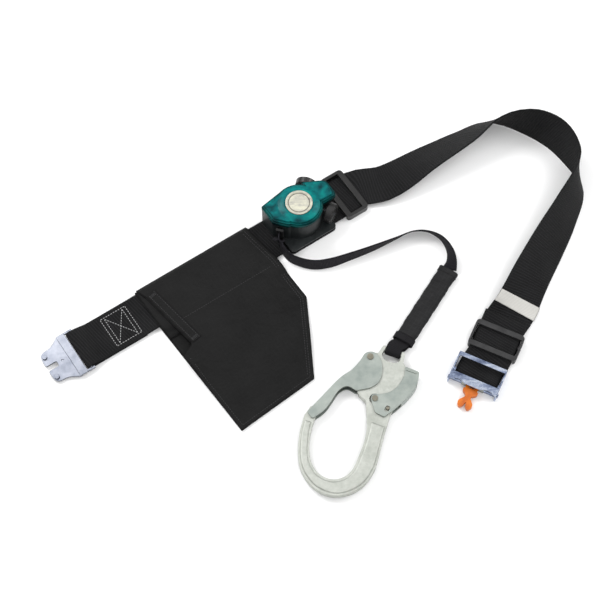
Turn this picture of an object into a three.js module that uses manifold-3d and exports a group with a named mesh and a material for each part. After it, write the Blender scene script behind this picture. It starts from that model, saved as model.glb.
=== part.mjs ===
// Waist belt with a reel-type shock absorbing lanyard, laid out flat.
// Millimetres, +Z up, the floor at z = 0, the origin under the middle of the whole object.
import * as THREE from "three";
import { mergeVertices } from "three/addons/utils/BufferGeometryUtils.js";
import Module from "manifold-3d";

const wasm = await Module();
wasm.setup();

// ---- driving dimensions ----
const GAP = 0.3; // clearance kept between touching pieces
const FLOOR = 0.3; // the lowest face of most pieces stands this far off the floor
const CENTRE = { x: 19.7, y: 0.2 }; // middle of the layout, which becomes the origin

const BELT = { width: 50, thick: 2.2, z: 3.9 }; // waist belt webbing; z is its middle where it lies flat
const REEL = { x: 0, y: 100, heading: 33.85 }; // left half of the belt: origin at the reel, +X along the belt
const BUCKLE = { x: 196, y: -96, heading: -25 }; // right end of the belt: +Y up the belt, away from the buckle
const ADJUSTER = { x: 199.5, y: -96.8, heading: -24.5 }; // the belt's line through the adjuster, +Y up the belt
const HOOK = { x: 101.5, y: -74, heading: -21.6 }; // hook: origin in the eye, +Y from the bow to the eye

const CASE = { y: 2.5, radius: 27.5, wall: 2, bottom: 5.3, split: 33, top: 44 }; // reel case
const DRUM = { flange: 23.4, hub: 9, low: 9.8, high: 29.4 };
const SHAFT = { radius: 3, low: 7.6, high: 37 };
const KNOB = { radius: 12.2, thick: 9, z: 20.6 };
const KNOB_SEATS = {
  front: { angle: -34, reach: 37, yaw: -25, pinFrom: 23.5 },
  rear: { angle: 43.7, reach: 38, yaw: 0, pinFrom: 25.3 },
};
const LABEL = { radius: 15.6, y: 2.2 };
const PAWL_POST = { x: 14.8, y: 17.3 };

const STRAP = { width: 17, thick: 1.6 }; // lanyard strap
const SLEEVE = { length: 98, width: 23, thick: 9, z: 4.9 }; // cover of the shock absorber
const SLEEVE_TOP = { x: 170.3, y: 35.2 };
const SLEEVE_HEADING = -121.8; // direction from the strap to the hook

const BODY = { low: 2.8, high: 10.8 }; // hook forging
const SHEET = 1.6; // steel sheet of gate and lever
const GATE_PIVOT = { x: -21.4, y: -10.4 };
const LEVER_PIVOT = { x: 0.7, y: -55.1 };
const LEVER_STOP = { x: 17.6, y: -60.8 };
const EYE_BAR = { y: 6.6, half: 2.5 };

const TONGUE_BAR = { x: -295, z: 5, radius: 2.2 };
const BUCKLE_BAR = { y: -3, z: 3.6 };
const LEVER_PIN = { y: -13, z: 4.6, radius: 1.5 };

// ---- materials ----
const finish = (color, roughness, metalness = 0) => ({ color, roughness, metalness });
const LOOKS = {
  webbing: finish(0x17171a, 0.85),
  marker: finish(0xc9c7c2, 0.8),
  cloth: finish(0x1c1c1c, 0.9),
  zinc: finish(0xc7c9c4, 0.45, 0.85),
  gateSteel: finish(0xb4beb4, 0.42, 0.85),
  brightSteel: finish(0xc9cdd6, 0.25, 0.95),
  darkPlastic: finish(0x26282a, 0.5),
  blackPlastic: finish(0x111112, 0.4),
  teal: finish(0x006f68, 0.22),
  label: finish(0xc9c6b4, 0.35, 0.5),
  orange: finish(0xee7d22, 0.4),
};

// ---- solids, joins and cuts ----
const rad = THREE.MathUtils.degToRad;
const v2 = (x, y) => new THREE.Vector2(x, y);
const v3 = (x, y, z) => new THREE.Vector3(x, y, z);

function solid(geometry) {
  const bare = geometry.clone();
  for (const name of Object.keys(bare.attributes)) {
    if (name !== "position") bare.deleteAttribute(name);
  }
  const merged = mergeVertices(bare, 1e-4);
  const corners = merged.index.array;
  const triVerts = [];
  for (let i = 0; i < corners.length; i += 3) {
    const triangle = [corners[i], corners[i + 1], corners[i + 2]];
    if (new Set(triangle).size === 3) triVerts.push(...triangle);
  }
  return new wasm.Manifold(
    new wasm.Mesh({
      numProp: 3,
      vertProperties: merged.attributes.position.array,
      triVerts: new Uint32Array(triVerts),
    }),
  );
}

function geometryOf(made) {
  const { numProp, vertProperties, triVerts } = made.getMesh();
  const position = new Float32Array((vertProperties.length / numProp) * 3);
  for (let i = 0; i < position.length / 3; i++) {
    position.set(vertProperties.subarray(i * numProp, i * numProp + 3), i * 3);
  }
  const geometry = new THREE.BufferGeometry();
  geometry.setAttribute("position", new THREE.BufferAttribute(position, 3));
  geometry.setIndex(new THREE.BufferAttribute(triVerts, 1));
  geometry.computeVertexNormals();
  return geometry;
}

const join = (first, ...rest) => rest.reduce((all, g) => all.add(g), first);
const cut = (first, ...rest) => rest.reduce((all, g) => all.subtract(g), first);

const block = (x0, x1, y0, y1, z0, z1) =>
  solid(
    new THREE.BoxGeometry(x1 - x0, y1 - y0, z1 - z0).translate((x0 + x1) / 2, (y0 + y1) / 2, (z0 + z1) / 2),
  );

const rod = (x, y, radius, z0, z1, sides = 24) =>
  solid(
    new THREE.CylinderGeometry(radius, radius, z1 - z0, sides)
      .rotateX(Math.PI / 2)
      .translate(x, y, (z0 + z1) / 2),
  );

// A rod that lies along X between x0 and x1.
const crossRod = (x0, x1, y, z, radius, sides = 16) =>
  solid(
    new THREE.CylinderGeometry(radius, radius, x1 - x0, sides)
      .rotateZ(Math.PI / 2)
      .translate((x0 + x1) / 2, y, z),
  );

const ring = (x, y, inner, outer, z0, z1, sides = 32) =>
  cut(rod(x, y, outer, z0, z1, sides), rod(x, y, inner, z0 - 1, z1 + 1, sides));

// A closed outline through [x, y, radius] corners, each rounded by its radius.
function outline(corners) {
  const shape = new THREE.Shape();
  corners.forEach(([x, y, r = 0], i) => {
    const here = v2(x, y);
    const before = v2(...corners.at(i - 1)).sub(here);
    const after = v2(...corners[(i + 1) % corners.length]).sub(here);
    const reach = Math.min(r, before.length() / 2, after.length() / 2);
    const start = here.clone().add(before.setLength(reach));
    const end = here.clone().add(after.setLength(reach));
    if (i === 0) shape.moveTo(start.x, start.y);
    else shape.lineTo(start.x, start.y);
    if (reach > 0) shape.quadraticCurveTo(x, y, end.x, end.y);
  });
  return shape;
}

const plate = (shape, z0, z1, curveSegments = 4) =>
  solid(
    new THREE.ExtrudeGeometry(shape, { depth: z1 - z0, bevelEnabled: false, curveSegments }).translate(0, 0, z0),
  );

const roundedBlock = (x0, x1, y0, y1, z0, z1, r) =>
  plate(outline([[x0, y0, r], [x1, y0, r], [x1, y1, r], [x0, y1, r]]), z0, z1);

// A flat strip through rings, each { centre, across, up }: four corners a ring, closed at both ends.
function ribbon(rings, width, thick) {
  const position = [];
  const index = [];
  const corners = [[-1, -1], [1, -1], [1, 1], [-1, 1]];
  for (const { centre, across, up } of rings) {
    for (const [a, b] of corners) {
      const p = centre
        .clone()
        .addScaledVector(across, (a * width) / 2)
        .addScaledVector(up, (b * thick) / 2);
      position.push(p.x, p.y, p.z);
    }
  }
  for (let i = 0; i + 1 < rings.length; i++) {
    for (let k = 0; k < 4; k++) {
      const [a, b] = [i * 4 + k, i * 4 + ((k + 1) % 4)];
      // Both wide faces are split along the same diagonal, so a twisted strip keeps its thickness.
      if (k === 0) index.push(a, b, a + 4, b, b + 4, a + 4);
      else index.push(a, b, b + 4, a, b + 4, a + 4);
    }
  }
  const last = (rings.length - 1) * 4;
  index.push(0, 2, 1, 0, 3, 2, last, last + 1, last + 2, last, last + 2, last + 3);
  const geometry = new THREE.BufferGeometry();
  geometry.setAttribute("position", new THREE.Float32BufferAttribute(position, 3));
  geometry.setIndex(index);
  return geometry.toNonIndexed();
}

// Rings along centres, with the strip's width turned as near to each wanted direction as the path lets it.
function ringsAlong(centres, widths, skews = []) {
  return centres.map((centre, i) => {
    const ahead = centres[Math.min(i + 1, centres.length - 1)];
    const behind = centres[Math.max(i - 1, 0)];
    const along = ahead.clone().sub(behind).normalize();
    const wanted = widths[i];
    const across = wanted.clone().addScaledVector(along, -wanted.dot(along)).normalize();
    const up = along.clone().cross(across);
    return { centre, across: across.addScaledVector(along.setZ(0).normalize(), skews[i] || 0), up };
  });
}

// Points of half a turn about (x, z), from below round the side that faces `side` to above.
const halfTurn = (x, z, radius, side, steps = 10) =>
  Array.from({ length: steps + 1 }, (_, i) => {
    const a = -Math.PI / 2 + (Math.PI * i) / steps;
    return [x + side * radius * Math.cos(a), z + radius * Math.sin(a)];
  });

// ---- scene graph ----
const object = new THREE.Group();
object.position.set(-CENTRE.x, -CENTRE.y, 0);

function frameAt({ x, y, heading }) {
  const group = new THREE.Group();
  group.position.set(x, y, 0);
  group.rotation.z = rad(heading);
  object.add(group);
  return group;
}
const world = object;
const reelFrame = frameAt(REEL);
const buckleFrame = frameAt(BUCKLE);
const adjusterFrame = frameAt(ADJUSTER);
const hookFrame = frameAt(HOOK);

function add(group, name, shape, look) {
  const geometry = shape.isBufferGeometry ? shape : geometryOf(shape);
  const mesh = new THREE.Mesh(geometry, new THREE.MeshStandardMaterial(LOOKS[look]));
  mesh.name = name;
  group.add(mesh);
}

const place = ({ x, y, heading }, px, py, pz) =>
  v3(px, py, pz).applyAxisAngle(v3(0, 0, 1), rad(heading)).add(v3(x, y, 0));

// ---- waist belt ----
// Between the reel and the buckle the belt rolls on to its edge: [x, y, roll in degrees, skew].
// Skew is the slant of the line across the webbing, forward along the belt for each unit across it.
const ROLLING = [
  [99.2, 150.6, 5.4, 0.14],
  [148.7, 179.6, 26.1, 0.13],
  [194.5, 206.2, 42, -0.07],
  [226.6, 225.1, 60.3, -0.13],
  [274.8, 222.3, 98.2, -0.13],
  [303.3, 204.7, 108.2, -0.13],
  [321.2, 173.4, 97.4, -0.08],
  [323.9, 141.4, 67.9, 0.1],
  [307.8, 105, 52, 0.25],
  [286.8, 67.4, 39.8, 0.15],
  [263, 24.6, 31.1, 0.02],
  [243.6, -12.7, 19.6, -0.14],
];

function rollingRings() {
  const start = [place(REEL, 52, 0, 0), place(REEL, 78, 0, 0)];
  const end = [place(ADJUSTER, 0, 66, 0), place(ADJUSTER, 0, 36, 0)];
  const knots = [...start, ...ROLLING.map(([x, y, roll]) => v3(x, y, roll)), ...end];
  const skews = [0, 0, ...ROLLING.map((p) => p[3]), 0, 0];
  const curve = new THREE.CatmullRomCurve3(knots, false, "centripetal");
  const steps = 5;
  const points = curve.getPoints((knots.length - 1) * steps);
  return points.slice(steps, -steps).map((p, i, all) => {
    const ahead = all[Math.min(i + 1, all.length - 1)];
    const behind = all[Math.max(i - 1, 0)];
    const along = ahead.clone().sub(behind).setZ(0).normalize();
    const roll = rad(p.z);
    const lift = (BELT.z - BELT.thick / 2 - FLOOR) * Math.max(0, 1 - p.z / 20);
    const z = (BELT.width / 2) * Math.sin(roll) + (BELT.thick / 2) * Math.abs(Math.cos(roll)) + FLOOR + lift;
    const across = v3(-along.y * Math.cos(roll), along.x * Math.cos(roll), -Math.sin(roll));
    const at = i / steps + 1;
    const k = Math.min(Math.floor(at), skews.length - 2);
    const skew = THREE.MathUtils.lerp(skews[k], skews[k + 1], at - k);
    return { centre: v3(p.x, p.y, z), across, skew };
  });
}

function beltRings() {
  const low = FLOOR + BELT.thick / 2;
  const wrap = TONGUE_BAR.radius + GAP + BELT.thick / 2;
  const left = [
    [-222, low],
    [-250, low],
    [-280, low],
    ...halfTurn(TONGUE_BAR.x, low + wrap, wrap, -1),
    [-288, low + 2 * wrap - 0.6],
    [-282, BELT.z + 2.4],
    [-276, BELT.z + 0.4],
    [-270, BELT.z],
    [-200, BELT.z],
    [-100, BELT.z],
    [0, BELT.z],
    [44, BELT.z],
  ].map(([x, z]) => place(REEL, x, 0, z));
  const tail = BELT.z + BELT.thick + GAP; // height of the free end, which lies on the belt
  const turn = 2.2;
  const right = [
    [36, BELT.z],
    [32, BELT.z],
    [24, 2.4],
    [16, low],
    [4, low],
    ...halfTurn(BUCKLE_BAR.y, BUCKLE_BAR.z, turn, -1),
    [4, low + 2 * turn - 0.5],
    [16, low + BELT.thick + GAP + 0.2],
    [24, 2.4 + BELT.thick + GAP + 0.2],
    [32, tail],
    [64.5, tail],
    [79, tail + 1.9],
  ].map(([y, z]) => place(BUCKLE, 0, y, z).lerp(place(ADJUSTER, 0, y, z), THREE.MathUtils.smoothstep(y, 10, 30)));
  const rolling = rollingRings();
  const leftAcross = place({ ...REEL, x: 0, y: 0 }, 0, 1, 0);
  const rightAcross = place({ ...BUCKLE, x: 0, y: 0 }, 1, 0, 0);
  return ringsAlong(
    [...left, ...rolling.map((r) => r.centre), ...right],
    [...left.map(() => leftAcross), ...rolling.map((r) => r.across), ...right.map(() => rightAcross)],
    [...left.map(() => 0), ...rolling.map((r) => r.skew), ...right.map(() => 0)],
  );
}

const BELT_RINGS = beltRings();
add(world, "waist_belt", ribbon(BELT_RINGS, BELT.width, BELT.thick), "webbing");

// The belt's ring at a distance up the belt from the middle of the buckle, before the belt comes flat.
function ringAt(distance) {
  const away = ({ centre }) => Math.hypot(centre.x - BUCKLE.x, centre.y - BUCKLE.y);
  const i = BELT_RINGS.findIndex((r) => r.centre.x > BUCKLE.x + 20 && r.up.z > 0 && away(r) < distance);
  const [near, far] = [BELT_RINGS[i], BELT_RINGS[i - 1]];
  const share = (distance - away(near)) / (away(far) - away(near));
  const mix = (key) => near[key].clone().lerp(far[key], share);
  const [across, up] = [mix("across"), mix("up").normalize()];
  return { centre: mix("centre"), across, up, next: near };
}

// A light band laid on the belt above its free end.
function markerBand() {
  const thick = 0.7;
  const [start, end] = [ringAt(106), ringAt(90)];
  const between = BELT_RINGS.slice(BELT_RINGS.indexOf(start.next), BELT_RINGS.indexOf(end.next));
  const span = [start, ...between, end].map((ring) => ({ ...ring, centre: ring.centre.clone() }));
  for (const ring of span) ring.centre.addScaledVector(ring.up, BELT.thick / 2 + 2 * GAP + thick / 2);
  return ribbon(span, BELT.width + 0.6, thick);
}
add(world, "belt_marker_band", markerBand(), "marker");

// ---- tongue plate ----
function tonguePlate() {
  const nose = outline([
    [-310, 27.8, 2],
    [-321, 20.8, 4],
    [-336, 19.5, 6],
    [-337, 5, 5],
    [-336, 3.3, 1],
    [-323.5, 3.3, 2],
    [-323.5, -3.3, 2],
    [-336, -3.3, 1],
    [-337, -5, 5],
    [-336, -19.5, 6],
    [-321, -20.8, 4],
    [-310, -27.8, 2],
    [-307.5, -27.8],
    [-307.5, 27.8],
  ]);
  const strip = block(-310, -300.4, -27.8, 27.8, 4.4, 6.2);
  const ears = [-1, 1].map((side) => {
    const [inner, outer] = side < 0 ? [-27.8, -25.6] : [25.6, 27.8];
    return roundedBlock(-301, -291, inner, outer, 3.6, 6.6, 0.5);
  });
  const bar = solid(
    new THREE.CylinderGeometry(TONGUE_BAR.radius, TONGUE_BAR.radius, 53, 20).translate(
      TONGUE_BAR.x,
      0,
      TONGUE_BAR.z,
    ),
  );
  const studHoles = [-14, 14].map((y) => rod(-332.5, y, 1.9, 0, 9, 16));
  const dimple = rod(-317.5, 0, 1.6, 4, 9, 14);
  return cut(join(plate(nose, 2.6, 4.6), strip, ...ears, bar), ...studHoles, dimple);
}
add(reelFrame, "tongue_plate", tonguePlate(), "brightSteel");

const stud = (y) => join(rod(-332.5, y, 1.6, 1.4, 5.0, 16), rod(-332.5, y, 2.8, 4.9, 6.2, 20), rod(-332.5, y, 2.4, 1.2, 2.3, 20));
add(reelFrame, "tongue_stud_upper", stud(14), "brightSteel");
add(reelFrame, "tongue_stud_lower", stud(-14), "brightSteel");

// ---- hook pouch ----
const POUCH_CORNERS = [[-208, 26.9], [-57, 26.9], [-50, -26], [-48, -85], [-97, -173], [-197, -180], [-206, -27]];

// The back panel runs under the belt, folds over it and is sewn to itself below it.
function pouchBack() {
  const section = outline([
    [-181, FLOOR],
    [26.9, FLOOR, 1.2],
    [26.9, 6.8, 1.2],
    [-31, 6.8, 1.5],
    [-36, 3.2, 0.5],
    [-38, 1.7],
    [-181, 1.7],
  ]);
  section.holes.push(outline([[-33.5, 1.8], [-30, 5.5, 0.8], [25.6, 5.5], [25.6, 1.8]]));
  const sheet = solid(
    new THREE.ExtrudeGeometry(section, { depth: 170, bevelEnabled: false, curveSegments: 3 })
      .rotateX(Math.PI / 2)
      .rotateZ(Math.PI / 2)
      .translate(-212, 0, 0),
  );
  return sheet.intersect(plate(outline(POUCH_CORNERS.map(([x, y]) => [x, y, 3])), -5, 20));
}
add(reelFrame, "pouch_back", pouchBack(), "cloth");

// The front panel lies over the folded back panel and bellies out below it, down to the sewn edges.
function pouchFront() {
  const [x0, x1, y0, y1, thick] = [-210, -46, -182, 30, 1.4];
  const sheet = new THREE.BoxGeometry(x1 - x0, y1 - y0, thick, 8, 12, 1).translate((x0 + x1) / 2, (y0 + y1) / 2, 0);
  const p = sheet.attributes.position;
  for (let i = 0; i < p.count; i++) {
    const [x, y] = [p.getX(i), p.getY(i)];
    const foot = THREE.MathUtils.smoothstep(y, -176, -112);
    const closed = THREE.MathUtils.smoothstep(-y, 84, 112); // above this the left side is the open mouth
    const left = 1 - closed + closed * THREE.MathUtils.smoothstep(x - x0, 4, 38);
    const right = THREE.MathUtils.smoothstep(x1 - x, 4, 38);
    const rise = y > -45 ? 7.9 : 2.7 + 5.6 * foot * left * right;
    p.setZ(i, p.getZ(i) + rise);
  }
  const [, , c, d, e, f] = POUCH_CORNERS;
  const edge = [[-206, 26.6], [-58, 26.6], c, d, e, f, [-204, -72], [-188, -65], [-201, 13]];
  return solid(sheet).intersect(plate(outline(edge.map(([x, y]) => [x, y, 3])), -5, 20));
}
add(reelFrame, "pouch_front", pouchFront(), "cloth");

// ---- reel ----
// The plan of the case: a round housing, a snout on the strap side and a short rib under the tab of the cover.
const SNOUT = [[-37, 0.5, 1.5], [-37, 24.5, 2], [-8, 28.8], [0, 20], [0, -10], [-24, -14.5, 2]];
const TAB = [[20, -10.5, 2], [42, -10.5, 3], [44, -6, 2], [44, 12, 3], [38, 16.5, 3], [18, 26.5, 4]];

const inset = (corners, by, cx, cy) =>
  corners.map(([x, y, r = 0]) => {
    const reach = Math.hypot(x - cx, y - cy);
    const k = (reach - by * 1.25) / reach;
    return [cx + (x - cx) * k, cy + (y - cy) * k, r];
  });

const caseBody = (grow, z0, z1) =>
  join(
    rod(0, CASE.y, CASE.radius + grow, z0, z1, 56),
    plate(outline(inset(SNOUT, -grow, -14, 8)), z0, z1),
  );

const CARRIER_HOLES = [[-25.5, -27], [25.5, -27], [-25.5, 27], [25.5, 27]];
const carrier = (z0, z1) => roundedBlock(-31, 31, -31, 31, z0, z1, 5);

// The strap leaves through a slot in the slanting face between snout and housing.
const EXIT = { x: -31, y: -6.6, heading: -138.5 };
const exitFrame = (shape) => shape.rotate([0, 0, EXIT.heading]).translate([EXIT.x, EXIT.y, 0]);

function reelBase() {
  const shell = cut(
    join(carrier(CASE.bottom, 7.3), caseBody(0, CASE.bottom, CASE.split), block(24, 41, -1.5, 6.5, 7, CASE.split)),
    caseBody(-CASE.wall, 7.3, CASE.split + 1),
  );
  const slot = exitFrame(block(-9, 8, -1.9, 1.9, 10.6, 29.4));
  const pinHoles = ["front", "rear"].map((seat) => knobRod(seat, 2.3, 20, 34));
  const screwHoles = CARRIER_HOLES.map(([x, y]) => rod(x, y, 1.7, 0, 6.7, 14));
  const pawlPost = rod(PAWL_POST.x, PAWL_POST.y, 1.4, 7, 9.6, 14);
  const shaftSeat = ring(0, CASE.y, SHAFT.radius + GAP, 5.6, 7, 7.5 + 0.1, 24);
  return join(cut(shell, slot, ...pinHoles, ...screwHoles), pawlPost, shaftSeat);
}

// A rod on a knob's axis; the distances count along that axis, and the knob's middle is at its reach.
function knobRod(seat, radius, from, to, sides = 20) {
  const { angle, reach, yaw } = KNOB_SEATS[seat];
  return solid(
    new THREE.CylinderGeometry(radius, radius, to - from, sides)
      .rotateZ(Math.PI / 2)
      .translate((from + to) / 2 - reach, 0, 0)
      .rotateZ(rad(yaw))
      .translate(reach, 0, 0)
      .rotateZ(rad(angle))
      .translate(0, CASE.y, KNOB.z),
  );
}
add(reelFrame, "reel_base", reelBase(), "darkPlastic");

function beltPlate() {
  const layer = (radius, z0, z1) => {
    const shape = outline([[-31, -31, 5], [31, -31, 5], [31, 31, 5], [-31, 31, 5]]);
    for (const [x, y] of CARRIER_HOLES) {
      const turns = Array.from({ length: 16 }, (_, k) => (-k * Math.PI) / 8);
      const round = turns.map((a) => v2(x + radius * Math.cos(a), y + radius * Math.sin(a)));
      shape.holes.push(new THREE.Path(round));
    }
    return plate(shape, z0, z1);
  };
  return join(layer(3, FLOOR, 1.5), layer(1.7, 1.5, 2.3));
}
add(reelFrame, "belt_plate", beltPlate(), "blackPlastic");

CARRIER_HOLES.forEach(([x, y], i) => {
  const screw = join(rod(x, y, 2.6, FLOOR, 1.2, 16), rod(x, y, 1.35, 1, 6.4, 12));
  add(reelFrame, "case_screw_" + (i + 1), screw, "brightSteel");
});

// The cover: a domed lid with a sloping rim over the case, the snout and the tab.
function reelCover() {
  const coverBody = (grow, z0, z1) =>
    join(caseBody(grow, z0, z1), plate(outline(inset(TAB, -grow, 28, 4)), z0, z1));
  const steps = [[0.2, 37.5], [-1.3, 39.5], [-3.2, 41.4]];
  let low = CASE.split + GAP;
  const tiers = steps.map(([grow, high]) => {
    const tier = coverBody(grow, low, high);
    low = high - 0.05;
    return tier;
  });
  const dome = solid(
    new THREE.CylinderGeometry(17.4, 24.6, CASE.top - 41.2, 48)
      .rotateX(Math.PI / 2)
      .translate(0, CASE.y, (CASE.top + 41.2) / 2),
  );
  const hollow = coverBody(-CASE.wall - 0.8, CASE.split - 1, 38.4);
  const seat = rod(0, LABEL.y, LABEL.radius + GAP, CASE.top - 0.8, CASE.top + 2, 48);
  return cut(join(...tiers, dome), hollow, seat);
}
add(reelFrame, "reel_cover", reelCover(), "teal");
add(
  reelFrame,
  "reel_label",
  join(
    rod(0, LABEL.y, LABEL.radius, CASE.top - 0.5, CASE.top + 0.5, 48),
    ring(0, LABEL.y, LABEL.radius - 2, LABEL.radius, CASE.top + 0.4, CASE.top + 1.1, 48),
  ),
  "label",
);

add(reelFrame, "reel_shaft", rod(0, CASE.y, SHAFT.radius, SHAFT.low, SHAFT.high), "brightSteel");

const drumBore = (z0, z1) => rod(0, CASE.y, SHAFT.radius + GAP, z0, z1);
add(
  reelFrame,
  "reel_drum",
  cut(
    join(
      rod(0, CASE.y, DRUM.flange, DRUM.low, DRUM.low + 1.1, 48),
      rod(0, CASE.y, DRUM.hub, DRUM.low + 1, DRUM.high - 1, 32),
      rod(0, CASE.y, DRUM.flange, DRUM.high - 1.1, DRUM.high, 48),
    ),
    drumBore(0, 40),
  ),
  "darkPlastic",
);
add(
  reelFrame,
  "wound_strap",
  ring(0, CASE.y, DRUM.hub + GAP, 21.5, DRUM.low + 1.1 + GAP, DRUM.high - 1.1 - GAP, 48),
  "webbing",
);

function ratchetWheel() {
  const teeth = 24;
  const shape = new THREE.Shape();
  for (let i = 0; i < teeth; i++) {
    const at = (share, r) => {
      const a = ((i + share) / teeth) * 2 * Math.PI;
      return [r * Math.cos(a), r * Math.sin(a) + CASE.y];
    };
    if (i === 0) shape.moveTo(...at(0, 15.4));
    else shape.lineTo(...at(0, 15.4));
    shape.lineTo(...at(0.08, 17.6));
    shape.lineTo(...at(0.3, 17.6));
  }
  return cut(plate(shape, 7.9, 9.5), drumBore(0, 40));
}
add(reelFrame, "ratchet_wheel", ratchetWheel(), "zinc");

// The pawl turns on a post of the base; its beak stands clear of the teeth until it is swung in.
function lockPawl() {
  const arm = outline([
    [15.1, 14.3, 1.5],
    [17.8, 16.4, 1.5],
    [14.3, 20.8, 2],
    [9.9, 22.8, 2],
    [5.8, 22.9, 0.6],
    [4.5, 20.6, 0.2],
    [6.7, 21, 0.6],
    [10.3, 19.2, 2],
    [12.9, 16.2, 1.5],
  ]);
  return cut(plate(arm, 7.9, 9.5), rod(PAWL_POST.x, PAWL_POST.y, 1.7, 0, 20, 14));
}
add(reelFrame, "lock_pawl", lockPawl(), "zinc");

// Power spring: a flat strip wound in a spiral between the shaft and the inside of the cover.
function powerSpring() {
  const [turns, inner, outer, steps, height] = [4.5, SHAFT.radius + 1, 21.5, 20, 5];
  const count = Math.round(turns * steps);
  const centres = Array.from({ length: count + 1 }, (_, i) => {
    const a = (i / steps) * 2 * Math.PI;
    const r = inner + ((outer - inner) * i) / count;
    return v3(r * Math.cos(a), CASE.y + r * Math.sin(a), DRUM.high + GAP + 0.5 + height / 2);
  });
  return ribbon(ringsAlong(centres, centres.map(() => v3(0, 0, 1))), height, 0.6);
}
add(reelFrame, "power_spring", powerSpring(), "brightSteel");

// A lip of hard plastic lines the slot that the strap leaves through.
const exitGuide = () =>
  exitFrame(
    cut(roundedBlock(2.4, 5.4, -4.4, 4.4, 8.6, 31.4, 0.8), block(0, 8, -1.5, 1.5, 11, 29)),
  );
add(reelFrame, "strap_exit_guide", exitGuide(), "blackPlastic");

// Two round side knobs, each turning on a pin in the wall of the case.
function lockKnob(seat) {
  const from = KNOB_SEATS[seat].reach - KNOB.thick / 2;
  const to = KNOB_SEATS[seat].reach + KNOB.thick / 2;
  const disc = join(
    knobRod(seat, KNOB.radius, from + 1, to - 1, 36),
    knobRod(seat, KNOB.radius - 1.6, from, to, 36),
  );
  const groove = cut(knobRod(seat, 9.4, to - 0.9, to + 2, 32), knobRod(seat, 6.6, to - 2, to + 3, 32));
  return cut(disc, groove, knobRod(seat, 2.3, from - 1, to + 1), knobRod(seat, 4.2, to - 1.6, to + 1));
}
function knobPin(seat) {
  const { reach, pinFrom } = KNOB_SEATS[seat];
  const end = reach + KNOB.thick / 2;
  return join(knobRod(seat, 2, pinFrom, end - 1), knobRod(seat, 3.8, end - 1.2, end - 0.2));
}
for (const seat of ["front", "rear"]) {
  add(reelFrame, "lock_knob_" + seat, lockKnob(seat), "blackPlastic");
  add(reelFrame, "knob_pin_" + seat, knobPin(seat), "brightSteel");
}

// ---- slides that hold the webbing ----
// A frame with two bars over the webbing and a middle bar under it; y runs along the webbing.
function slide(halfWidth, y0, y1, barWidth, under, top) {
  const middle = (y0 + y1) / 2;
  const room = BELT.width / 2 + 1.2;
  const rails = cut(
    roundedBlock(-halfWidth, halfWidth, y0, y1, 0.4, top, 5),
    block(-room, room, y0 - 1, y1 + 1, 0, under),
    block(-room, room, y0 + barWidth, y1 - barWidth, 0, top + 1),
  );
  return join(rails, block(-room - 1, room + 1, middle - 2.5, middle + 2.5, 0.4, 2.5));
}
const turned = (shape) => shape.rotate([0, 0, -90]);
add(reelFrame, "reel_keeper", turned(slide(30, 47.5, 77, 6.5, 6.2, 8.8)), "blackPlastic");
add(adjusterFrame, "adjuster_slide", slide(28.6, 30, 63.4, 6, 7.9, 10.9), "blackPlastic");

// ---- buckle ----
function buckleFrameSolid() {
  const [low, high, sheet] = [FLOOR, 12.8, 1.5];
  const wall = (side) => {
    const [x0, x1] = side < 0 ? [-28.4, -28.4 + sheet] : [28.4 - sheet, 28.4];
    const profile = outline([[-19, low + 1, 1.5], [-17, high - 2, 1.5], [-15, high, 1.5], [15, high, 2], [17.6, high - 3, 2], [17.6, low, 1.5], [-16, low, 1.5]]);
    return solid(
      new THREE.ExtrudeGeometry(profile, { depth: x1 - x0, bevelEnabled: false, curveSegments: 4 })
        .rotateX(Math.PI / 2)
        .rotateZ(Math.PI / 2)
        .translate(x0, 0, 0),
    );
  };
  const upper = block(-28, 28, 12.2, 17.2, high - sheet, high);
  const scallop = outline([
    [-28, -7.6],
    [-28, -18.6, 1],
    [-24, -16.5, 4],
    [-17, -13.6, 5],
    [-9, -17.6, 4],
    [9, -17.6, 4],
    [17, -13.6, 5],
    [24, -16.5, 4],
    [28, -18.6, 1],
    [28, -7.6],
  ]);
  const lower = plate(scallop, high - sheet, high);
  const floor = block(-28, 28, -13.6, -9, low, low + 1.3);
  const pinHoles = crossRod(-30, 30, LEVER_PIN.y, LEVER_PIN.z, LEVER_PIN.radius + GAP);
  const barSlots = block(-30, 30, BUCKLE_BAR.y - 0.7, BUCKLE_BAR.y + 3.7, BUCKLE_BAR.z - 1.1, BUCKLE_BAR.z + 1.1);
  return cut(join(wall(-1), wall(1), upper, lower, floor), pinHoles, barSlots);
}
add(buckleFrame, "buckle_frame", buckleFrameSolid(), "brightSteel");
add(
  buckleFrame,
  "buckle_bar",
  block(-28.2, 28.2, BUCKLE_BAR.y - 0.4, BUCKLE_BAR.y + 3.4, BUCKLE_BAR.z - 0.8, BUCKLE_BAR.z + 0.8),
  "brightSteel",
);
add(
  buckleFrame,
  "lever_pin",
  join(
    crossRod(-28.2, 28.2, LEVER_PIN.y, LEVER_PIN.z, LEVER_PIN.radius),
    crossRod(-29.6, -28.7 + 0.001, LEVER_PIN.y, LEVER_PIN.z, 2.4),
    crossRod(28.7 - 0.001, 29.6, LEVER_PIN.y, LEVER_PIN.z, 2.4),
    crossRod(-29, 29, LEVER_PIN.y, LEVER_PIN.z, LEVER_PIN.radius),
  ),
  "brightSteel",
);

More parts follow.
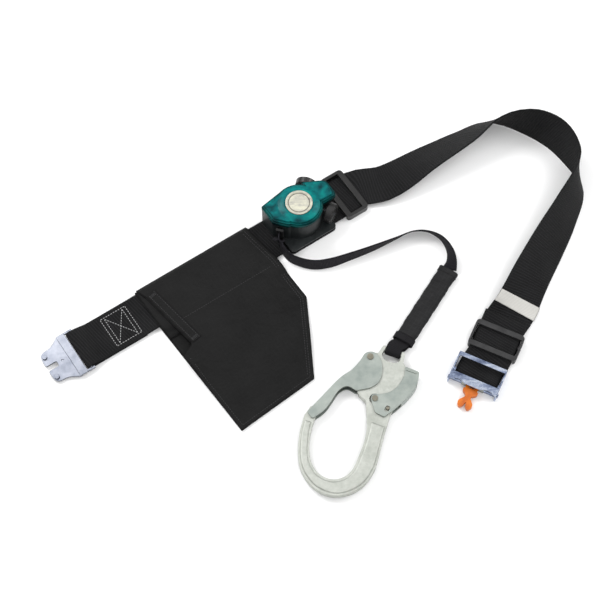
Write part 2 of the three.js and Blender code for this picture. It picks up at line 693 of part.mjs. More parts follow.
// The release key: a head at the buckle, a neck and two round lobes, turning on the lever pin.
function releaseKey() {
  const [low, high] = [2.3, 6.9];
  const half = [
    [7, -10.6, 1],
    [7, -18.8, 0.5],
    [8.5, -19.4, 1],
    [8.5, -23, 1.5],
    [3.6, -26, 2],
    [3.4, -29, 1],
    [8.2, -35, 2],
    [8.4, -38.5, 3],
    [5.4, -43.2, 4],
    [1.6, -40.5, 3],
  ];
  const mirrored = half.map(([x, y, r]) => [-x, y, r]).reverse();
  const key = plate(outline([...half, [0, -34, 0.8], ...mirrored]), low, high);
  const springRoom = block(-3.4, 3.4, -17.2, -8, 0, 9);
  return cut(key, crossRod(-10, 10, LEVER_PIN.y, LEVER_PIN.z, LEVER_PIN.radius + GAP), springRoom);
}
add(buckleFrame, "release_key", releaseKey(), "orange");

// The steel latch behind the key's head, which catches the tongue plate.
const latch = () =>
  cut(
    join(
      roundedBlock(7.4, 13, -15.6, -9.8, 2.6, 7, 1),
      roundedBlock(7.4, 13, -15.6, -12.4, 6.8, 10.4, 0.8),
    ),
    crossRod(0, 20, LEVER_PIN.y, LEVER_PIN.z, LEVER_PIN.radius + GAP),
  );
add(buckleFrame, "latch_right", latch(), "zinc");
add(buckleFrame, "latch_left", latch().mirror([1, 0, 0]), "zinc");

// A coil of wire about an axis, with a straight leg at each end.
function coil({ turns, radius, pitch, wire, leg, steps = 12 }) {
  const count = Math.round(turns * steps);
  const points = Array.from({ length: count + 1 }, (_, i) => {
    const a = (i / steps) * 2 * Math.PI;
    return v3(radius * Math.cos(a), radius * Math.sin(a), (i / steps) * pitch);
  });
  const along = (a, b, by) => b.clone().addScaledVector(b.clone().sub(a).normalize(), by);
  const legs = [along(points[1], points[0], leg), along(points.at(-2), points.at(-1), leg)];
  const path = new THREE.CatmullRomCurve3([legs[0], ...points, legs[1]], false, "chordal");
  const section = new THREE.Shape(
    Array.from({ length: 6 }, (_, i) => v2(wire * Math.cos((i * Math.PI) / 3), wire * Math.sin((i * Math.PI) / 3))),
  );
  return new THREE.ExtrudeGeometry(section, { steps: count + 2, bevelEnabled: false, extrudePath: path });
}
add(
  buckleFrame,
  "key_spring",
  solid(
    coil({ turns: 3, radius: 2.5, pitch: 1.35, wire: 0.45, leg: 0.6 })
      .rotateY(Math.PI / 2)
      .translate(-2, LEVER_PIN.y, LEVER_PIN.z),
  ),
  "brightSteel",
);

// ---- lanyard strap and shock absorber ----
// Route of the strap from the reel to the absorber: [x, y, z, lean from upright in degrees].
const STRAP_ROUTE = [
  [...place(REEL, -34, -9.2, 0).toArray().slice(0, 2), 20, 0],
  [...place(REEL, -38, -13, 0).toArray().slice(0, 2), 19.4, 0],
  [-23, 67, 16.5, 0],
  [-19, 57.5, 14.6, 4],
  [-11.5, 49.6, 10, 9],
  [0, 44, 8.9, 12],
  [17, 40.4, 8.9, 14],
  [35, 43, 8.9, 14],
  [57, 51, 8.9, 6],
  [86, 63, 8.9, -4],
  [111, 75, 8.8, -18],
  [130, 84, 8.6, -26],
  [147, 84.2, 8.6, -24],
  [163, 75, 8.9, -8],
  [172, 59, 8.8, 16],
  [173.3, 46, 7.3, 42],
  [170.8, 36, 4.9, 78],
];

function strapRings() {
  const steps = 62;
  const middle = new THREE.CatmullRomCurve3(STRAP_ROUTE.map(([x, y, z]) => v3(x, y, z)), false, "centripetal");
  const leans = new THREE.SplineCurve(STRAP_ROUTE.map((p, i) => v2(i, p[3])));
  const centres = [];
  const widths = [];
  for (let i = 0; i <= steps; i++) {
    const t = i / steps;
    const centre = middle.getPoint(t);
    const lean = rad(leans.getPoint(t).y);
    const along = middle.getTangent(t).setZ(0).normalize();
    centres.push(centre);
    widths.push(v3(-along.y * Math.sin(lean), along.x * Math.sin(lean), Math.cos(lean)));
  }
  return ringsAlong(centres, widths);
}
add(world, "lanyard_strap", ribbon(strapRings(), STRAP.width, STRAP.thick), "webbing");

// The absorber lies along its own frame: +Y from the strap towards the hook.
const sleeveFrame = frameAt({ ...SLEEVE_TOP, heading: SLEEVE_HEADING - 90 });

const flatTube = (width, thick, y0, y1, z) => {
  const [w, t] = [width / 2, thick / 2];
  return solid(
    new THREE.ExtrudeGeometry(
      outline([[-w, z - t, t * 0.9], [w, z - t, t * 0.9], [w, z + t, t * 0.9], [-w, z + t, t * 0.9]]),
      { depth: y1 - y0, bevelEnabled: false, curveSegments: 4 },
    )
      .rotateX(Math.PI / 2)
      .translate(0, y1, 0),
  );
};
add(
  sleeveFrame,
  "absorber_sleeve",
  cut(
    flatTube(SLEEVE.width, SLEEVE.thick, 0, SLEEVE.length, SLEEVE.z),
    flatTube(SLEEVE.width - 2.8, SLEEVE.thick - 2.4, -1, SLEEVE.length + 1, SLEEVE.z),
  ),
  "cloth",
);
add(
  sleeveFrame,
  "absorber_pack",
  flatTube(SLEEVE.width - 4.4, SLEEVE.thick - 3.4, 7, SLEEVE.length - 8, SLEEVE.z),
  "webbing",
);
add(
  sleeveFrame,
  "loop_keeper",
  cut(flatTube(25, 10.8, SLEEVE.length + 0.6, SLEEVE.length + 8.6, 5.9), flatTube(20.8, 8.8, 90, 120, 5.9)),
  "webbing",
);

// The end loop: out of the absorber, through the eye of the hook and back.
function hookLoop() {
  const centreZ = (BODY.low + BODY.high) / 2;
  const wrap = EYE_BAR.half * 1.35 + GAP + 0.9;
  const down = SLEEVE.length;
  const legZ = [
    [down - 6, 0],
    [down + 4, 0.1],
    [down + 9, 0.25],
  ];
  const sleeveAcross = place({ x: 0, y: 0, heading: SLEEVE_HEADING - 90 }, 1, 0, 0).negate();
  const hookAcross = place({ ...HOOK, x: 0, y: 0 }, 1, 0, 0);
  const leg = (side) =>
    legZ.map(([y, k]) => ({
      centre: place({ ...SLEEVE_TOP, heading: SLEEVE_HEADING - 90 }, 0, y, SLEEVE.z + 0.7 * k + side * (1.35 + 2 * k)),
      across: sleeveAcross.clone().lerp(hookAcross, k * 2),
    }));
  const round = halfTurn(-EYE_BAR.y, centreZ, wrap, 1, 12).map(([y, z]) => ({
    centre: place(HOOK, 0, -y, z),
    across: hookAcross,
  }));
  const before = { centre: place(HOOK, 0, EYE_BAR.y + 6, centreZ - wrap + 0.2), across: hookAcross };
  const after = { centre: place(HOOK, 0, EYE_BAR.y + 6, centreZ + wrap - 0.2), across: hookAcross };
  const all = [...leg(-1), before, ...round, after, ...leg(1).reverse()];
  return ribbon(ringsAlong(all.map((r) => r.centre), all.map((r) => r.across)), 18, 1.8);
}
add(world, "hook_loop", hookLoop(), "webbing");

// ---- hook ----
const spline = (points) => points.map(([x, y]) => v2(x, y));

function hookBody() {
  const shape = new THREE.Shape();
  shape.moveTo(-13, 7.2);
  shape.quadraticCurveTo(-12.6, 9.1, -10, 9.1);
  shape.lineTo(10, 9.1);
  shape.quadraticCurveTo(12.6, 9.1, 13, 7.2);
  shape.lineTo(15, -3);
  shape.splineThru(spline([[21, -11], [24, -28], [23.4, -48], [22.8, -67], [25.2, -95], [28.4, -122], [28.2, -137], [23.9, -152], [14.5, -165], [0, -174.2], [-16.5, -176], [-31.6, -171], [-46, -159], [-55.4, -142], [-61.4, -122], [-64, -101]]));
  shape.lineTo(-61.5, -89);
  shape.quadraticCurveTo(-57.5, -85.5, -53.5, -89);
  shape.lineTo(-52, -102);
  shape.splineThru(spline([[-50.2, -118], [-44.6, -136], [-37.6, -148.5], [-27.6, -156.8], [-16.6, -159.4], [-6.2, -157.2], [2.6, -149.6], [7, -138], [7.6, -122], [7, -104], [3, -86], [-5.5, -66]]));
  shape.quadraticCurveTo(-7, -60.5, -11, -59.3);
  shape.quadraticCurveTo(-17, -58.5, -20.6, -53);
  shape.lineTo(-18, -38);
  shape.lineTo(-15, -22);
  shape.lineTo(-20, -16.2);
  shape.quadraticCurveTo(-27.2, -15.6, -27.2, -10.4);
  shape.quadraticCurveTo(-27.2, -5, -21, -4.8);
  shape.lineTo(-15, -2);
  shape.closePath();
  const slot = outline([[-10.2, 4.1, 1], [10.2, 4.1, 1], [10.8, -3, 2], [7, -6.6, 3], [0, -8.2, 6], [-7, -6.6, 3], [-10.8, -3, 2]]);
  const flat = plate(shape, BODY.low, BODY.high, 3);
  const bow = new THREE.Shape();
  bow.moveTo(22.2, -82);
  bow.splineThru(spline([[23.4, -96], [26.4, -122], [26.2, -136], [22.2, -150.6], [13.4, -162.8], [0, -171.8], [-16.2, -173.4], [-30.4, -168.8], [-44.4, -157.4], [-53.4, -141], [-59.4, -121.6], [-61.8, -106]]));
  bow.lineTo(-54.2, -106);
  bow.splineThru(spline([[-52.4, -118], [-46.6, -137], [-39.4, -150.2], [-28.6, -159.2], [-16.4, -162], [-5, -159.6], [4.8, -151.2], [9.4, -138.6], [9.8, -122], [9.2, -104], [6.4, -82]]));
  const belly = solid(
    new THREE.ExtrudeGeometry(bow, {
      depth: BODY.high - BODY.low,
      bevelEnabled: true,
      bevelThickness: 1.8,
      bevelSize: 1.6,
      bevelOffset: -1.6,
      bevelSegments: 2,
      curveSegments: 3,
    }).translate(0, 0, BODY.low),
  );
  const middle = (BODY.low + BODY.high) / 2;
  const thinEye = [
    block(-9.6, 9.6, 3, 12, middle + EYE_BAR.half, 20),
    block(-9.6, 9.6, 3, 12, -5, middle - EYE_BAR.half),
  ];
  const springRoom = [
    rod(GATE_PIVOT.x, GATE_PIVOT.y, 7, 5.6, 20, 28),
    rod(LEVER_PIVOT.x, LEVER_PIVOT.y, 6, 5.6, 20, 28),
  ];
  const holes = [
    rod(GATE_PIVOT.x, GATE_PIVOT.y, 2.4, 0, 20, 18),
    rod(LEVER_PIVOT.x, LEVER_PIVOT.y, 2.4, 0, 20, 18),
    rod(LEVER_STOP.x, LEVER_STOP.y, 2.1, 0, 20, 18),
  ];
  return cut(join(flat, belly), plate(slot, 0, 20), ...thinEye, ...springRoom, ...holes);
}
add(hookFrame, "hook_body", hookBody(), "zinc");

const PLATE_LOW = [0.9, 0.9 + SHEET];
const PLATE_HIGH = [BODY.high + GAP, BODY.high + GAP + SHEET];

// A folded channel: two side plates of one outline, and a web along part of the outer edge.
function channel(side, web, holes) {
  const both = join(plate(side, ...PLATE_LOW), plate(side, ...PLATE_HIGH), plate(web, PLATE_LOW[0], PLATE_HIGH[1]));
  return cut(both, ...holes);
}

function hookGate() {
  const side = outline([
    [-14, -4.6, 4],
    [-22, -3.6, 3],
    [-28.6, -8, 4],
    [-29.6, -17, 3],
    [-34, -32, 6],
    [-43.4, -45, 8],
    [-62.4, -97, 2],
    [-54.4, -102.4, 3],
    [-45.4, -88, 6],
    [-42.6, -77, 8],
    [-40, -60, 8],
    [-33, -51.5, 5],
    [-21.6, -54, 2],
    [-8.4, -45.4, 3],
    [-1.4, -36, 5],
    [-2.4, -22, 6],
    [-7.4, -11, 4],
  ]);
  const web = outline([
    [-29.2, -19.5],
    [-34, -32, 6],
    [-43.4, -45, 8],
    [-57.4, -83.4],
    [-55.8, -84],
    [-41.9, -45.7, 8],
    [-32.5, -32.8, 6],
    [-27.7, -20],
  ]);
  return channel(side, web, [rod(GATE_PIVOT.x, GATE_PIVOT.y, 2.4, -1, 20, 18)]);
}
add(hookFrame, "hook_gate", hookGate(), "gateSteel");

function safetyLever() {
  const side = outline([
    [18.8, -7.4, 1],
    [35.6, -7.8, 3],
    [38.6, -25, 6],
    [33.5, -42, 8],
    [25.2, -59, 4],
    [17.4, -72, 2],
    [6.4, -70.4, 2],
    [-3.4, -57.6, 2],
    [-4.1, -51.9, 2],
    [6, -47.6, 8],
    [14.6, -41.4, 6],
    [20.2, -30, 6],
    [21.3, -16, 3],
  ]);
  const web = outline([[35.4, -8.4], [38.5, -25, 6], [33.5, -42, 8], [29.5, -50.2], [28.1, -49.6], [32, -41.6, 8], [36.9, -25, 6], [33.9, -8.8]]);
  const stopRoom = plate(
    outline([[15.4, -58, 2], [20.2, -58.4, 2], [19.4, -65.4, 2], [14.4, -65, 2]]),
    -1,
    20,
  );
  const thumbRest = block(20.6, 33.2, -11.4, -9.8, PLATE_HIGH[0] + 0.4, PLATE_HIGH[1] + 0.8);
  return join(
    channel(side, web, [rod(LEVER_PIVOT.x, LEVER_PIVOT.y, 2.4, -1, 20, 18), stopRoom]),
    thumbRest,
  );
}
add(hookFrame, "safety_lever", safetyLever(), "gateSteel");

const rivet = ({ x, y }, stem, head) =>
  join(
    rod(x, y, stem, 0.1, 13.4, 18),
    rod(x, y, head, 0, 0.6, 20),
    rod(x, y, head, 13, 13.9, 20),
  );
add(hookFrame, "gate_pivot", rivet(GATE_PIVOT, 2.1, 3.6), "brightSteel");
add(hookFrame, "lever_pivot", rivet(LEVER_PIVOT, 2.1, 3.4), "brightSteel");
add(hookFrame, "lever_stop_pin", rod(LEVER_STOP.x, LEVER_STOP.y, 1.8, 0.4, 13.2, 18), "brightSteel");

const torsionSpring = ({ x, y }, turn) =>
  solid(
    coil({ turns: 3, radius: 3.4, pitch: 1.25, wire: 0.5, leg: 2 })
      .rotateZ(rad(turn))
      .translate(x, y, 6.6),
  );
add(hookFrame, "gate_spring", torsionSpring(GATE_PIVOT, -40), "brightSteel");
add(hookFrame, "lever_spring", torsionSpring(LEVER_PIVOT, 60), "brightSteel");

export default object;
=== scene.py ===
"""Waist belt with a reel-type shock absorbing lanyard, laid flat: looks, soft pieces and camera."""

import math

import bpy
import bmesh
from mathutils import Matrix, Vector


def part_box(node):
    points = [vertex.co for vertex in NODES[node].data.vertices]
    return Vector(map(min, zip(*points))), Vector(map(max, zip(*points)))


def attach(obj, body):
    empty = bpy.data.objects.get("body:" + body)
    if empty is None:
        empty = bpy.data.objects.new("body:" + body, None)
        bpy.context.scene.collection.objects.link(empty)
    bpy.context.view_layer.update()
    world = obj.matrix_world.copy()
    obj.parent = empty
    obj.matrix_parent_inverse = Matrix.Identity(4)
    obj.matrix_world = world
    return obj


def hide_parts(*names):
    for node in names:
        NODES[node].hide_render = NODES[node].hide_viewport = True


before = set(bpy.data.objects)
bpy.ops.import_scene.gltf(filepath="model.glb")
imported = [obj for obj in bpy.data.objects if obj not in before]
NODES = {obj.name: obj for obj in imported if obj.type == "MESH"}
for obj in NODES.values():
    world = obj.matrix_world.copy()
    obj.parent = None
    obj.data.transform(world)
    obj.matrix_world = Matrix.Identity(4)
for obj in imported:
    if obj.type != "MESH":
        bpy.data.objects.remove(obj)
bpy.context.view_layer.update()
MM = 0.001

# ---------------------------------------------------------------- layout, as in the part (mm)
CENTRE = (19.7, 0.2)
REEL = (0.0, 100.0, 33.85)
BUCKLE = (196.0, -96.0, -25.0)
ADJUSTER = (199.5, -96.8, -24.5)
HOOK = (101.5, -74.0, -21.6)
SLEEVE = (170.3, 35.2, -121.8 - 90.0)
GAP, FLOOR = 0.3, 0.3
BELT_W, BELT_T, BELT_Z = 50.0, 2.2, 3.9
MARKER_T, MARKER_FROM, MARKER_TO = 0.7, 106, 90
HOOK_LOOP_W, HOOK_LOOP_T = 18, 1.7
SLEEVE_LENGTH = 98.0

# The camera looks at the middle of the layout: metres away, degrees above the floor, and lens in mm
CAMERA_AWAY, CAMERA_RISE, CAMERA_LENS = 1.7, 64, 89.8


def place(where, x, y, z=0.0):
    """A point of a layout frame (x, y, heading in degrees), in layout mm."""
    x0, y0, heading = where
    a = math.radians(heading)
    return Vector((x0 + x * math.cos(a) - y * math.sin(a), y0 + x * math.sin(a) + y * math.cos(a), z))


def turn(where, x, y):
    """A direction of a layout frame, turned by its heading."""
    a = math.radians(where[2])
    return Vector((x * math.cos(a) - y * math.sin(a), x * math.sin(a) + y * math.cos(a), 0.0))


def row(p):
    """A layout point in the row frame, in metres."""
    return Vector(((p[0] - CENTRE[0]) * MM, (p[1] - CENTRE[1]) * MM, p[2] * MM))


def smoothstep(x, a, b):
    t = min(max((x - a) / (b - a), 0.0), 1.0)
    return t * t * (3 - 2 * t)


# ---------------------------------------------------------------- camera, light and floor
def camera():
    target = row((0, 0, 0))
    rise = math.radians(CAMERA_RISE)
    data = bpy.data.cameras.new("camera")
    data.sensor_width = 36
    data.lens = CAMERA_LENS
    data.clip_end = 20
    cam = bpy.data.objects.new("camera", data)
    back = Vector((0, -math.cos(rise), math.sin(rise)))
    cam.location = target + back * CAMERA_AWAY
    cam.rotation_mode = "QUATERNION"
    cam.rotation_quaternion = (-back).to_track_quat("-Z", "Y")
    bpy.context.scene.collection.objects.link(cam)
    bpy.context.scene.camera = cam


def area_light(name, at, aim, size, power, colour=(1, 1, 1)):
    data = bpy.data.lights.new(name, "AREA")
    data.shape = "RECTANGLE"
    data.size, data.size_y = size
    data.energy = power
    data.color = colour
    light = bpy.data.objects.new(name, data)
    light.location = at
    light.rotation_mode = "QUATERNION"
    light.rotation_quaternion = (Vector(aim) - Vector(at)).to_track_quat("-Z", "Y")
    bpy.context.scene.collection.objects.link(light)


def studio():
    scene = bpy.context.scene
    world = bpy.data.worlds.new("studio")
    scene.world = world
    world.use_nodes = True
    tree = world.node_tree
    split = tree.nodes.new("ShaderNodeSeparateXYZ")
    tree.links.new(tree.nodes.new("ShaderNodeTexCoord").outputs["Generated"], split.inputs[0])
    height = tree.nodes.new("ShaderNodeValToRGB")
    tree.links.new(split.outputs[2], height.inputs[0])
    height.color_ramp.elements[0].position = 0.0
    height.color_ramp.elements[0].color = (0.12, 0.12, 0.13, 1)
    height.color_ramp.elements[1].position = 0.75
    height.color_ramp.elements[1].color = (1, 1, 1, 1)
    tree.links.new(height.outputs[0], tree.nodes["Background"].inputs[0])
    tree.nodes["Background"].inputs[1].default_value = 0.95
    scene.view_settings.view_transform = "Standard"
    scene.view_settings.look = "None"
    area_light("key", (-0.9, 0.7, 1.3), (0, 0, 0), (0.7, 0.7), 16)
    area_light("fill", (1.2, 0.5, 1.1), (0.1, 0, 0), (0.8, 0.8), 9)
    area_light("front", (0.2, -1.2, 1.2), (0, 0, 0), (0.9, 0.5), 7)
    mesh = bpy.data.meshes.new("floor")
    r = 6.0
    mesh.from_pydata([(-r, -r, 0), (r, -r, 0), (r, r, 0), (-r, r, 0)], [], [(0, 1, 2, 3)])
    floor = bpy.data.objects.new("floor", mesh)
    scene.collection.objects.link(floor)
    mesh.materials.append(floor_material())


# ---------------------------------------------------------------- material helpers
SOCKETS = {
    "colour": "Base Color",
    "rough": "Roughness",
    "metal": "Metallic",
    "normal": "Normal",
    "specular": "Specular IOR Level",
    "sheen": "Sheen Weight",
    "coat": "Coat Weight",
    "coat_rough": "Coat Roughness",
}


class Shader:
    """A small builder of node materials: sockets in, sockets out."""

    def __init__(self, name):
        self.material = bpy.data.materials.new(name)
        self.material.use_nodes = True
        self.tree = self.material.node_tree
        self.bsdf = self.tree.nodes["Principled BSDF"]
        self._object = None
        self._uv = None

    def node(self, kind, **settings):
        n = self.tree.nodes.new(kind)
        for key, value in settings.items():
            setattr(n, key, value)
        return n

    def put(self, socket, value):
        if isinstance(value, bpy.types.NodeSocket):
            self.tree.links.new(value, socket)
        elif isinstance(value, (tuple, list)) and len(value) == 3 and socket.type == "RGBA":
            socket.default_value = (*value, 1)
        else:
            socket.default_value = value

    def math(self, op, a, b=0.0):
        n = self.node("ShaderNodeMath", operation=op)
        self.put(n.inputs[0], a)
        self.put(n.inputs[1], b)
        return n.outputs[0]

    def at(self):
        """Object coordinates: metres in the row frame, and they stay with the piece."""
        if self._object is None:
            self._object = self.node("ShaderNodeTexCoord").outputs["Object"]
        return self._object

    def uv(self):
        """(along, across) of a strip, in millimetres."""
        if self._uv is None:
            split = self.node("ShaderNodeSeparateXYZ")
            self.put(split.inputs[0], self.node("ShaderNodeUVMap", uv_map="UVMap").outputs[0])
            self._uv = (split.outputs[0], split.outputs[1])
        return self._uv

    def noise(self, scale, detail=3.0, rough=0.55, vector=None, distortion=0.0):
        n = self.node("ShaderNodeTexNoise")
        self.put(n.inputs["Vector"], vector if vector is not None else self.at())
        n.inputs["Scale"].default_value = scale
        n.inputs["Detail"].default_value = detail
        n.inputs["Roughness"].default_value = rough
        n.inputs["Distortion"].default_value = distortion
        return n.outputs["Fac"]

    def stretch(self, sx, sy, sz, turned=0.0):
        n = self.node("ShaderNodeMapping")
        self.put(n.inputs["Vector"], self.at())
        n.inputs["Scale"].default_value = (sx, sy, sz)
        n.inputs["Rotation"].default_value = (0, 0, math.radians(turned))
        return n.outputs[0]

    def ramp(self, fac, *stops):
        n = self.node("ShaderNodeValToRGB")
        self.put(n.inputs[0], fac)
        while len(n.color_ramp.elements) < len(stops):
            n.color_ramp.elements.new(0.5)
        for element, (at, colour) in zip(n.color_ramp.elements, stops):
            element.position = at
            element.color = (*colour, 1) if isinstance(colour, (tuple, list)) else (colour, colour, colour, 1)
        return n.outputs[0]

    def mix(self, fac, a, b, blend="MIX"):
        n = self.node("ShaderNodeMix", data_type="RGBA", blend_type=blend)
        self.put(n.inputs[0], fac)
        self.put(n.inputs[6], a)
        self.put(n.inputs[7], b)
        return n.outputs[2]

    def bump(self, height, distance, strength=1.0, normal=None):
        n = self.node("ShaderNodeBump")
        n.inputs["Distance"].default_value = distance
        n.inputs["Strength"].default_value = strength
        self.put(n.inputs["Height"], height)
        if normal is not None:
            self.put(n.inputs["Normal"], normal)
        return n.outputs[0]

    def edge(self, radius):
        """1 on sharp edges, 0 on flat places: where the rounded normal leaves the flat one."""
        bevel = self.node("ShaderNodeBevel", samples=6)
        bevel.inputs["Radius"].default_value = radius
        dot = self.node("ShaderNodeVectorMath", operation="DOT_PRODUCT")
        self.put(dot.inputs[0], bevel.outputs[0])
        self.put(dot.inputs[1], self.node("ShaderNodeNewGeometry").outputs["Normal"])
        return self.math("SUBTRACT", 1.0, dot.outputs["Value"]), bevel.outputs[0]

    def set(self, **values):
        for key, value in values.items():
            self.put(self.bsdf.inputs[SOCKETS[key]], value)
        return self.material


def srgb(r, g, b):
    def one(c):
        c /= 255
        return c / 12.92 if c <= 0.04045 else ((c + 0.055) / 1.055) ** 2.4

    return (one(r), one(g), one(b))


# ---------------------------------------------------------------- materials
def floor_material():
    s = Shader("floor")
    return s.set(colour=(0.92, 0.92, 0.92), rough=0.9, specular=0.1)


def webbing(name, dark, light, rib=2.3, yarn=1.25, width=50.0, lift=1.0):
    """Ribbed webbing: ribs across the strip, yarns along it, and a denser woven edge."""
    s = Shader(name)
    u, v = s.uv()
    wander = s.math("MULTIPLY", s.noise(40, 2), 1.6)
    slant = s.math("MULTIPLY", v, 0.16)
    phase = s.math("ADD", s.math("ADD", u, slant), wander)
    ribs = s.math("SINE", s.math("MULTIPLY", phase, 2 * math.pi / rib))
    half = s.math("MULTIPLY", s.math("FLOOR", s.math("DIVIDE", v, yarn)), math.pi)
    fine = s.math("SINE", s.math("ADD", s.math("MULTIPLY", u, 2 * math.pi / (rib * 0.5)), half))
    yarns = s.math("ABSOLUTE", s.math("SINE", s.math("MULTIPLY", v, math.pi / yarn)))
    edge = s.math("SUBTRACT", width / 2 - 1.6, s.math("ABSOLUTE", v))
    inside = s.math("MINIMUM", s.math("MAXIMUM", s.math("MULTIPLY", edge, 1.4), 0.0), 1.0)
    woven = s.math("ADD", s.math("MULTIPLY", ribs, 0.6), s.math("MULTIPLY", s.math("ADD", fine, yarns), 0.35))
    height = s.math("ADD", s.math("MULTIPLY", woven, inside), s.math("MULTIPLY", yarns, 0.3))
    # The colour follows the weave's height: painted shade in its valleys and lighter raised ribs.
    tone = s.math("ADD", s.math("MULTIPLY", height, 0.34), s.math("MULTIPLY", s.noise(25, 4), 0.7))
    colour = s.ramp(tone, (0.12, dark), (0.85, light))
    fibres = s.noise(2600, 2, 0.7)
    normal = s.bump(height, 0.00035 * lift, 0.8, s.bump(fibres, 0.0001, 0.35))
    rough = s.ramp(tone, (0.2, 0.62), (0.9, 0.82))
    return s.set(colour=colour, rough=rough, normal=normal, sheen=0.01, specular=0.15)


def pack_cloth(name, dark, light):
    """Coated pack cloth: a fine square weave and soft creases."""
    s = Shader(name)
    u, v = s.uv()
    warp = s.math("SINE", s.math("MULTIPLY", u, 2 * math.pi / 0.9))
    weft = s.math("SINE", s.math("MULTIPLY", v, 2 * math.pi / 0.9))
    weave = s.math("MULTIPLY", warp, weft)
    rip_u = s.math("POWER", s.math("ABSOLUTE", s.math("SINE", s.math("MULTIPLY", u, math.pi / 5.2))), 24)
    rip_v = s.math("POWER", s.math("ABSOLUTE", s.math("SINE", s.math("MULTIPLY", v, math.pi / 5.2))), 24)
    grid = s.math("MAXIMUM", rip_u, rip_v)
    cloud = s.noise(18, 5, 0.6)
    soft = s.noise(60, 4, 0.6, s.stretch(1, 2.6, 1, 20))
    tone = s.math("ADD", s.math("MULTIPLY", cloud, 0.65), s.math("MULTIPLY", soft, 0.4))
    tone = s.math("ADD", tone, s.math("MULTIPLY", grid, 0.1))
    colour = s.ramp(tone, (0.3, dark), (0.85, light))
    creases = s.bump(s.noise(34, 5, 0.55, s.stretch(1, 2.2, 1, -35), 0.6), 0.004, 0.6)
    fine = s.math("ADD", s.math("MULTIPLY", weave, 0.5), s.math("MULTIPLY", grid, 0.9))
    normal = s.bump(fine, 0.00018, 0.6, creases)
    rough = s.ramp(tone, (0.3, 0.55), (0.8, 0.72))
    return s.set(colour=colour, rough=rough, normal=normal, sheen=0.01, specular=0.16)


def metal(name, base, tint, rough=(0.28, 0.5), grain=1.0, wear_and_shade=0.5, smudge=9.0, edge_mm=0.35, rim=None):
    """Plated steel: mottled plating, fine scratches, and edges rubbed bright or, with a rim colour, darkened
    by painted shade.
    """
    s = Shader(name)
    sharp, rounded = s.edge(edge_mm * MM)
    mottle = s.noise(smudge * 10, 6, 0.65)
    broad = s.noise(smudge * 2.2, 3, 0.5)
    lines = s.noise(1400, 2, 0.6, s.stretch(0.03, 1, 1, 0.0))
    cross = s.noise(900, 2, 0.6, s.stretch(1, 0.04, 1, 28))
    tone = s.math("ADD", s.math("MULTIPLY", mottle, 0.6), s.math("MULTIPLY", broad, 0.5))
    body = s.ramp(tone, (0.3, tint), (0.72, base))
    # With a rim colour the sharp edges get painted shade; without one they are rubbed bright.
    edges = rim or tuple(min(1.0, c * 1.22) for c in base)
    wear_and_shade_mask = s.math("MULTIPLY", s.math("MINIMUM", s.math("MULTIPLY", sharp, 6.0), 1.0), wear_and_shade)
    colour = s.mix(wear_and_shade_mask, body, edges)
    scratch = s.math("ADD", s.math("MULTIPLY", lines, 0.6), s.math("MULTIPLY", cross, 0.4))
    gloss = s.math("ADD", s.math("MULTIPLY", tone, 0.6), s.math("MULTIPLY", scratch, 0.45))
    roughness = s.ramp(gloss, (0.3, rough[0]), (0.8, rough[1]))
    normal = s.bump(scratch, 0.00006 * grain, 0.5, s.bump(mottle, 0.00025 * grain, 0.35, rounded))
    return s.set(colour=colour, metal=0.95, rough=roughness, normal=normal)


def chrome(name, dark, middle, light, rim, edge_mm=0.5):
    """Blue-bright chromate plating: long light and dark bands of painted reflection, and painted shade on the
    sharp edges.
    """
    s = Shader(name)
    sharp, rounded = s.edge(edge_mm * MM)
    # Long slanted light and dark bands in the colour: painted reflection.
    reflection_streaks = s.noise(95, 2, 0.5, s.stretch(0.3, 1.5, 1, -25), 0.3)
    mottle = s.noise(420, 4, 0.6)
    tone = s.math("ADD", s.math("MULTIPLY", reflection_streaks, 0.75), s.math("MULTIPLY", mottle, 0.25))
    colour = s.ramp(tone, (0.36, dark), (0.48, middle), (0.62, light))
    # The sharp edges are mixed towards a near-black rim: painted shade.
    colour = s.mix(s.math("MINIMUM", s.math("MULTIPLY", sharp, 5.0), 0.85), colour, rim)
    normal = s.bump(reflection_streaks, 0.0012, 0.35, rounded)
    return s.set(colour=colour, metal=0.95, rough=s.ramp(mottle, (0.3, 0.14), (0.7, 0.3)), normal=normal)


def plastic(name, base, dark, rough=(0.35, 0.5), grain=0.3, edge_mm=0.4, specular=0.5, coat=0.0):
    """Moulded plastic with a spark-eroded grain and faint handling marks."""
    s = Shader(name)
    sharp, rounded = s.edge(edge_mm * MM)
    grainy = s.noise(1500, 3, 0.6)
    marks = s.noise(90, 5, 0.6)
    colour = s.ramp(marks, (0.3, dark), (0.75, base))
    # Sharp edges are mixed towards a lighter colour: a painted highlight.
    lit = tuple(min(1.0, c * 1.6 + 0.01) for c in base)
    colour = s.mix(s.math("MINIMUM", s.math("MULTIPLY", sharp, 2.2), 0.5), colour, lit)
    gloss = s.math("ADD", s.math("MULTIPLY", marks, 0.7), s.math("MULTIPLY", grainy, 0.3))
    roughness = s.ramp(gloss, (0.3, rough[0]), (0.75, rough[1]))
    normal = s.bump(grainy, 0.0001 * grain, 0.5, rounded)
    return s.set(colour=colour, rough=roughness, normal=normal, specular=specular, coat=coat, coat_rough=0.12)


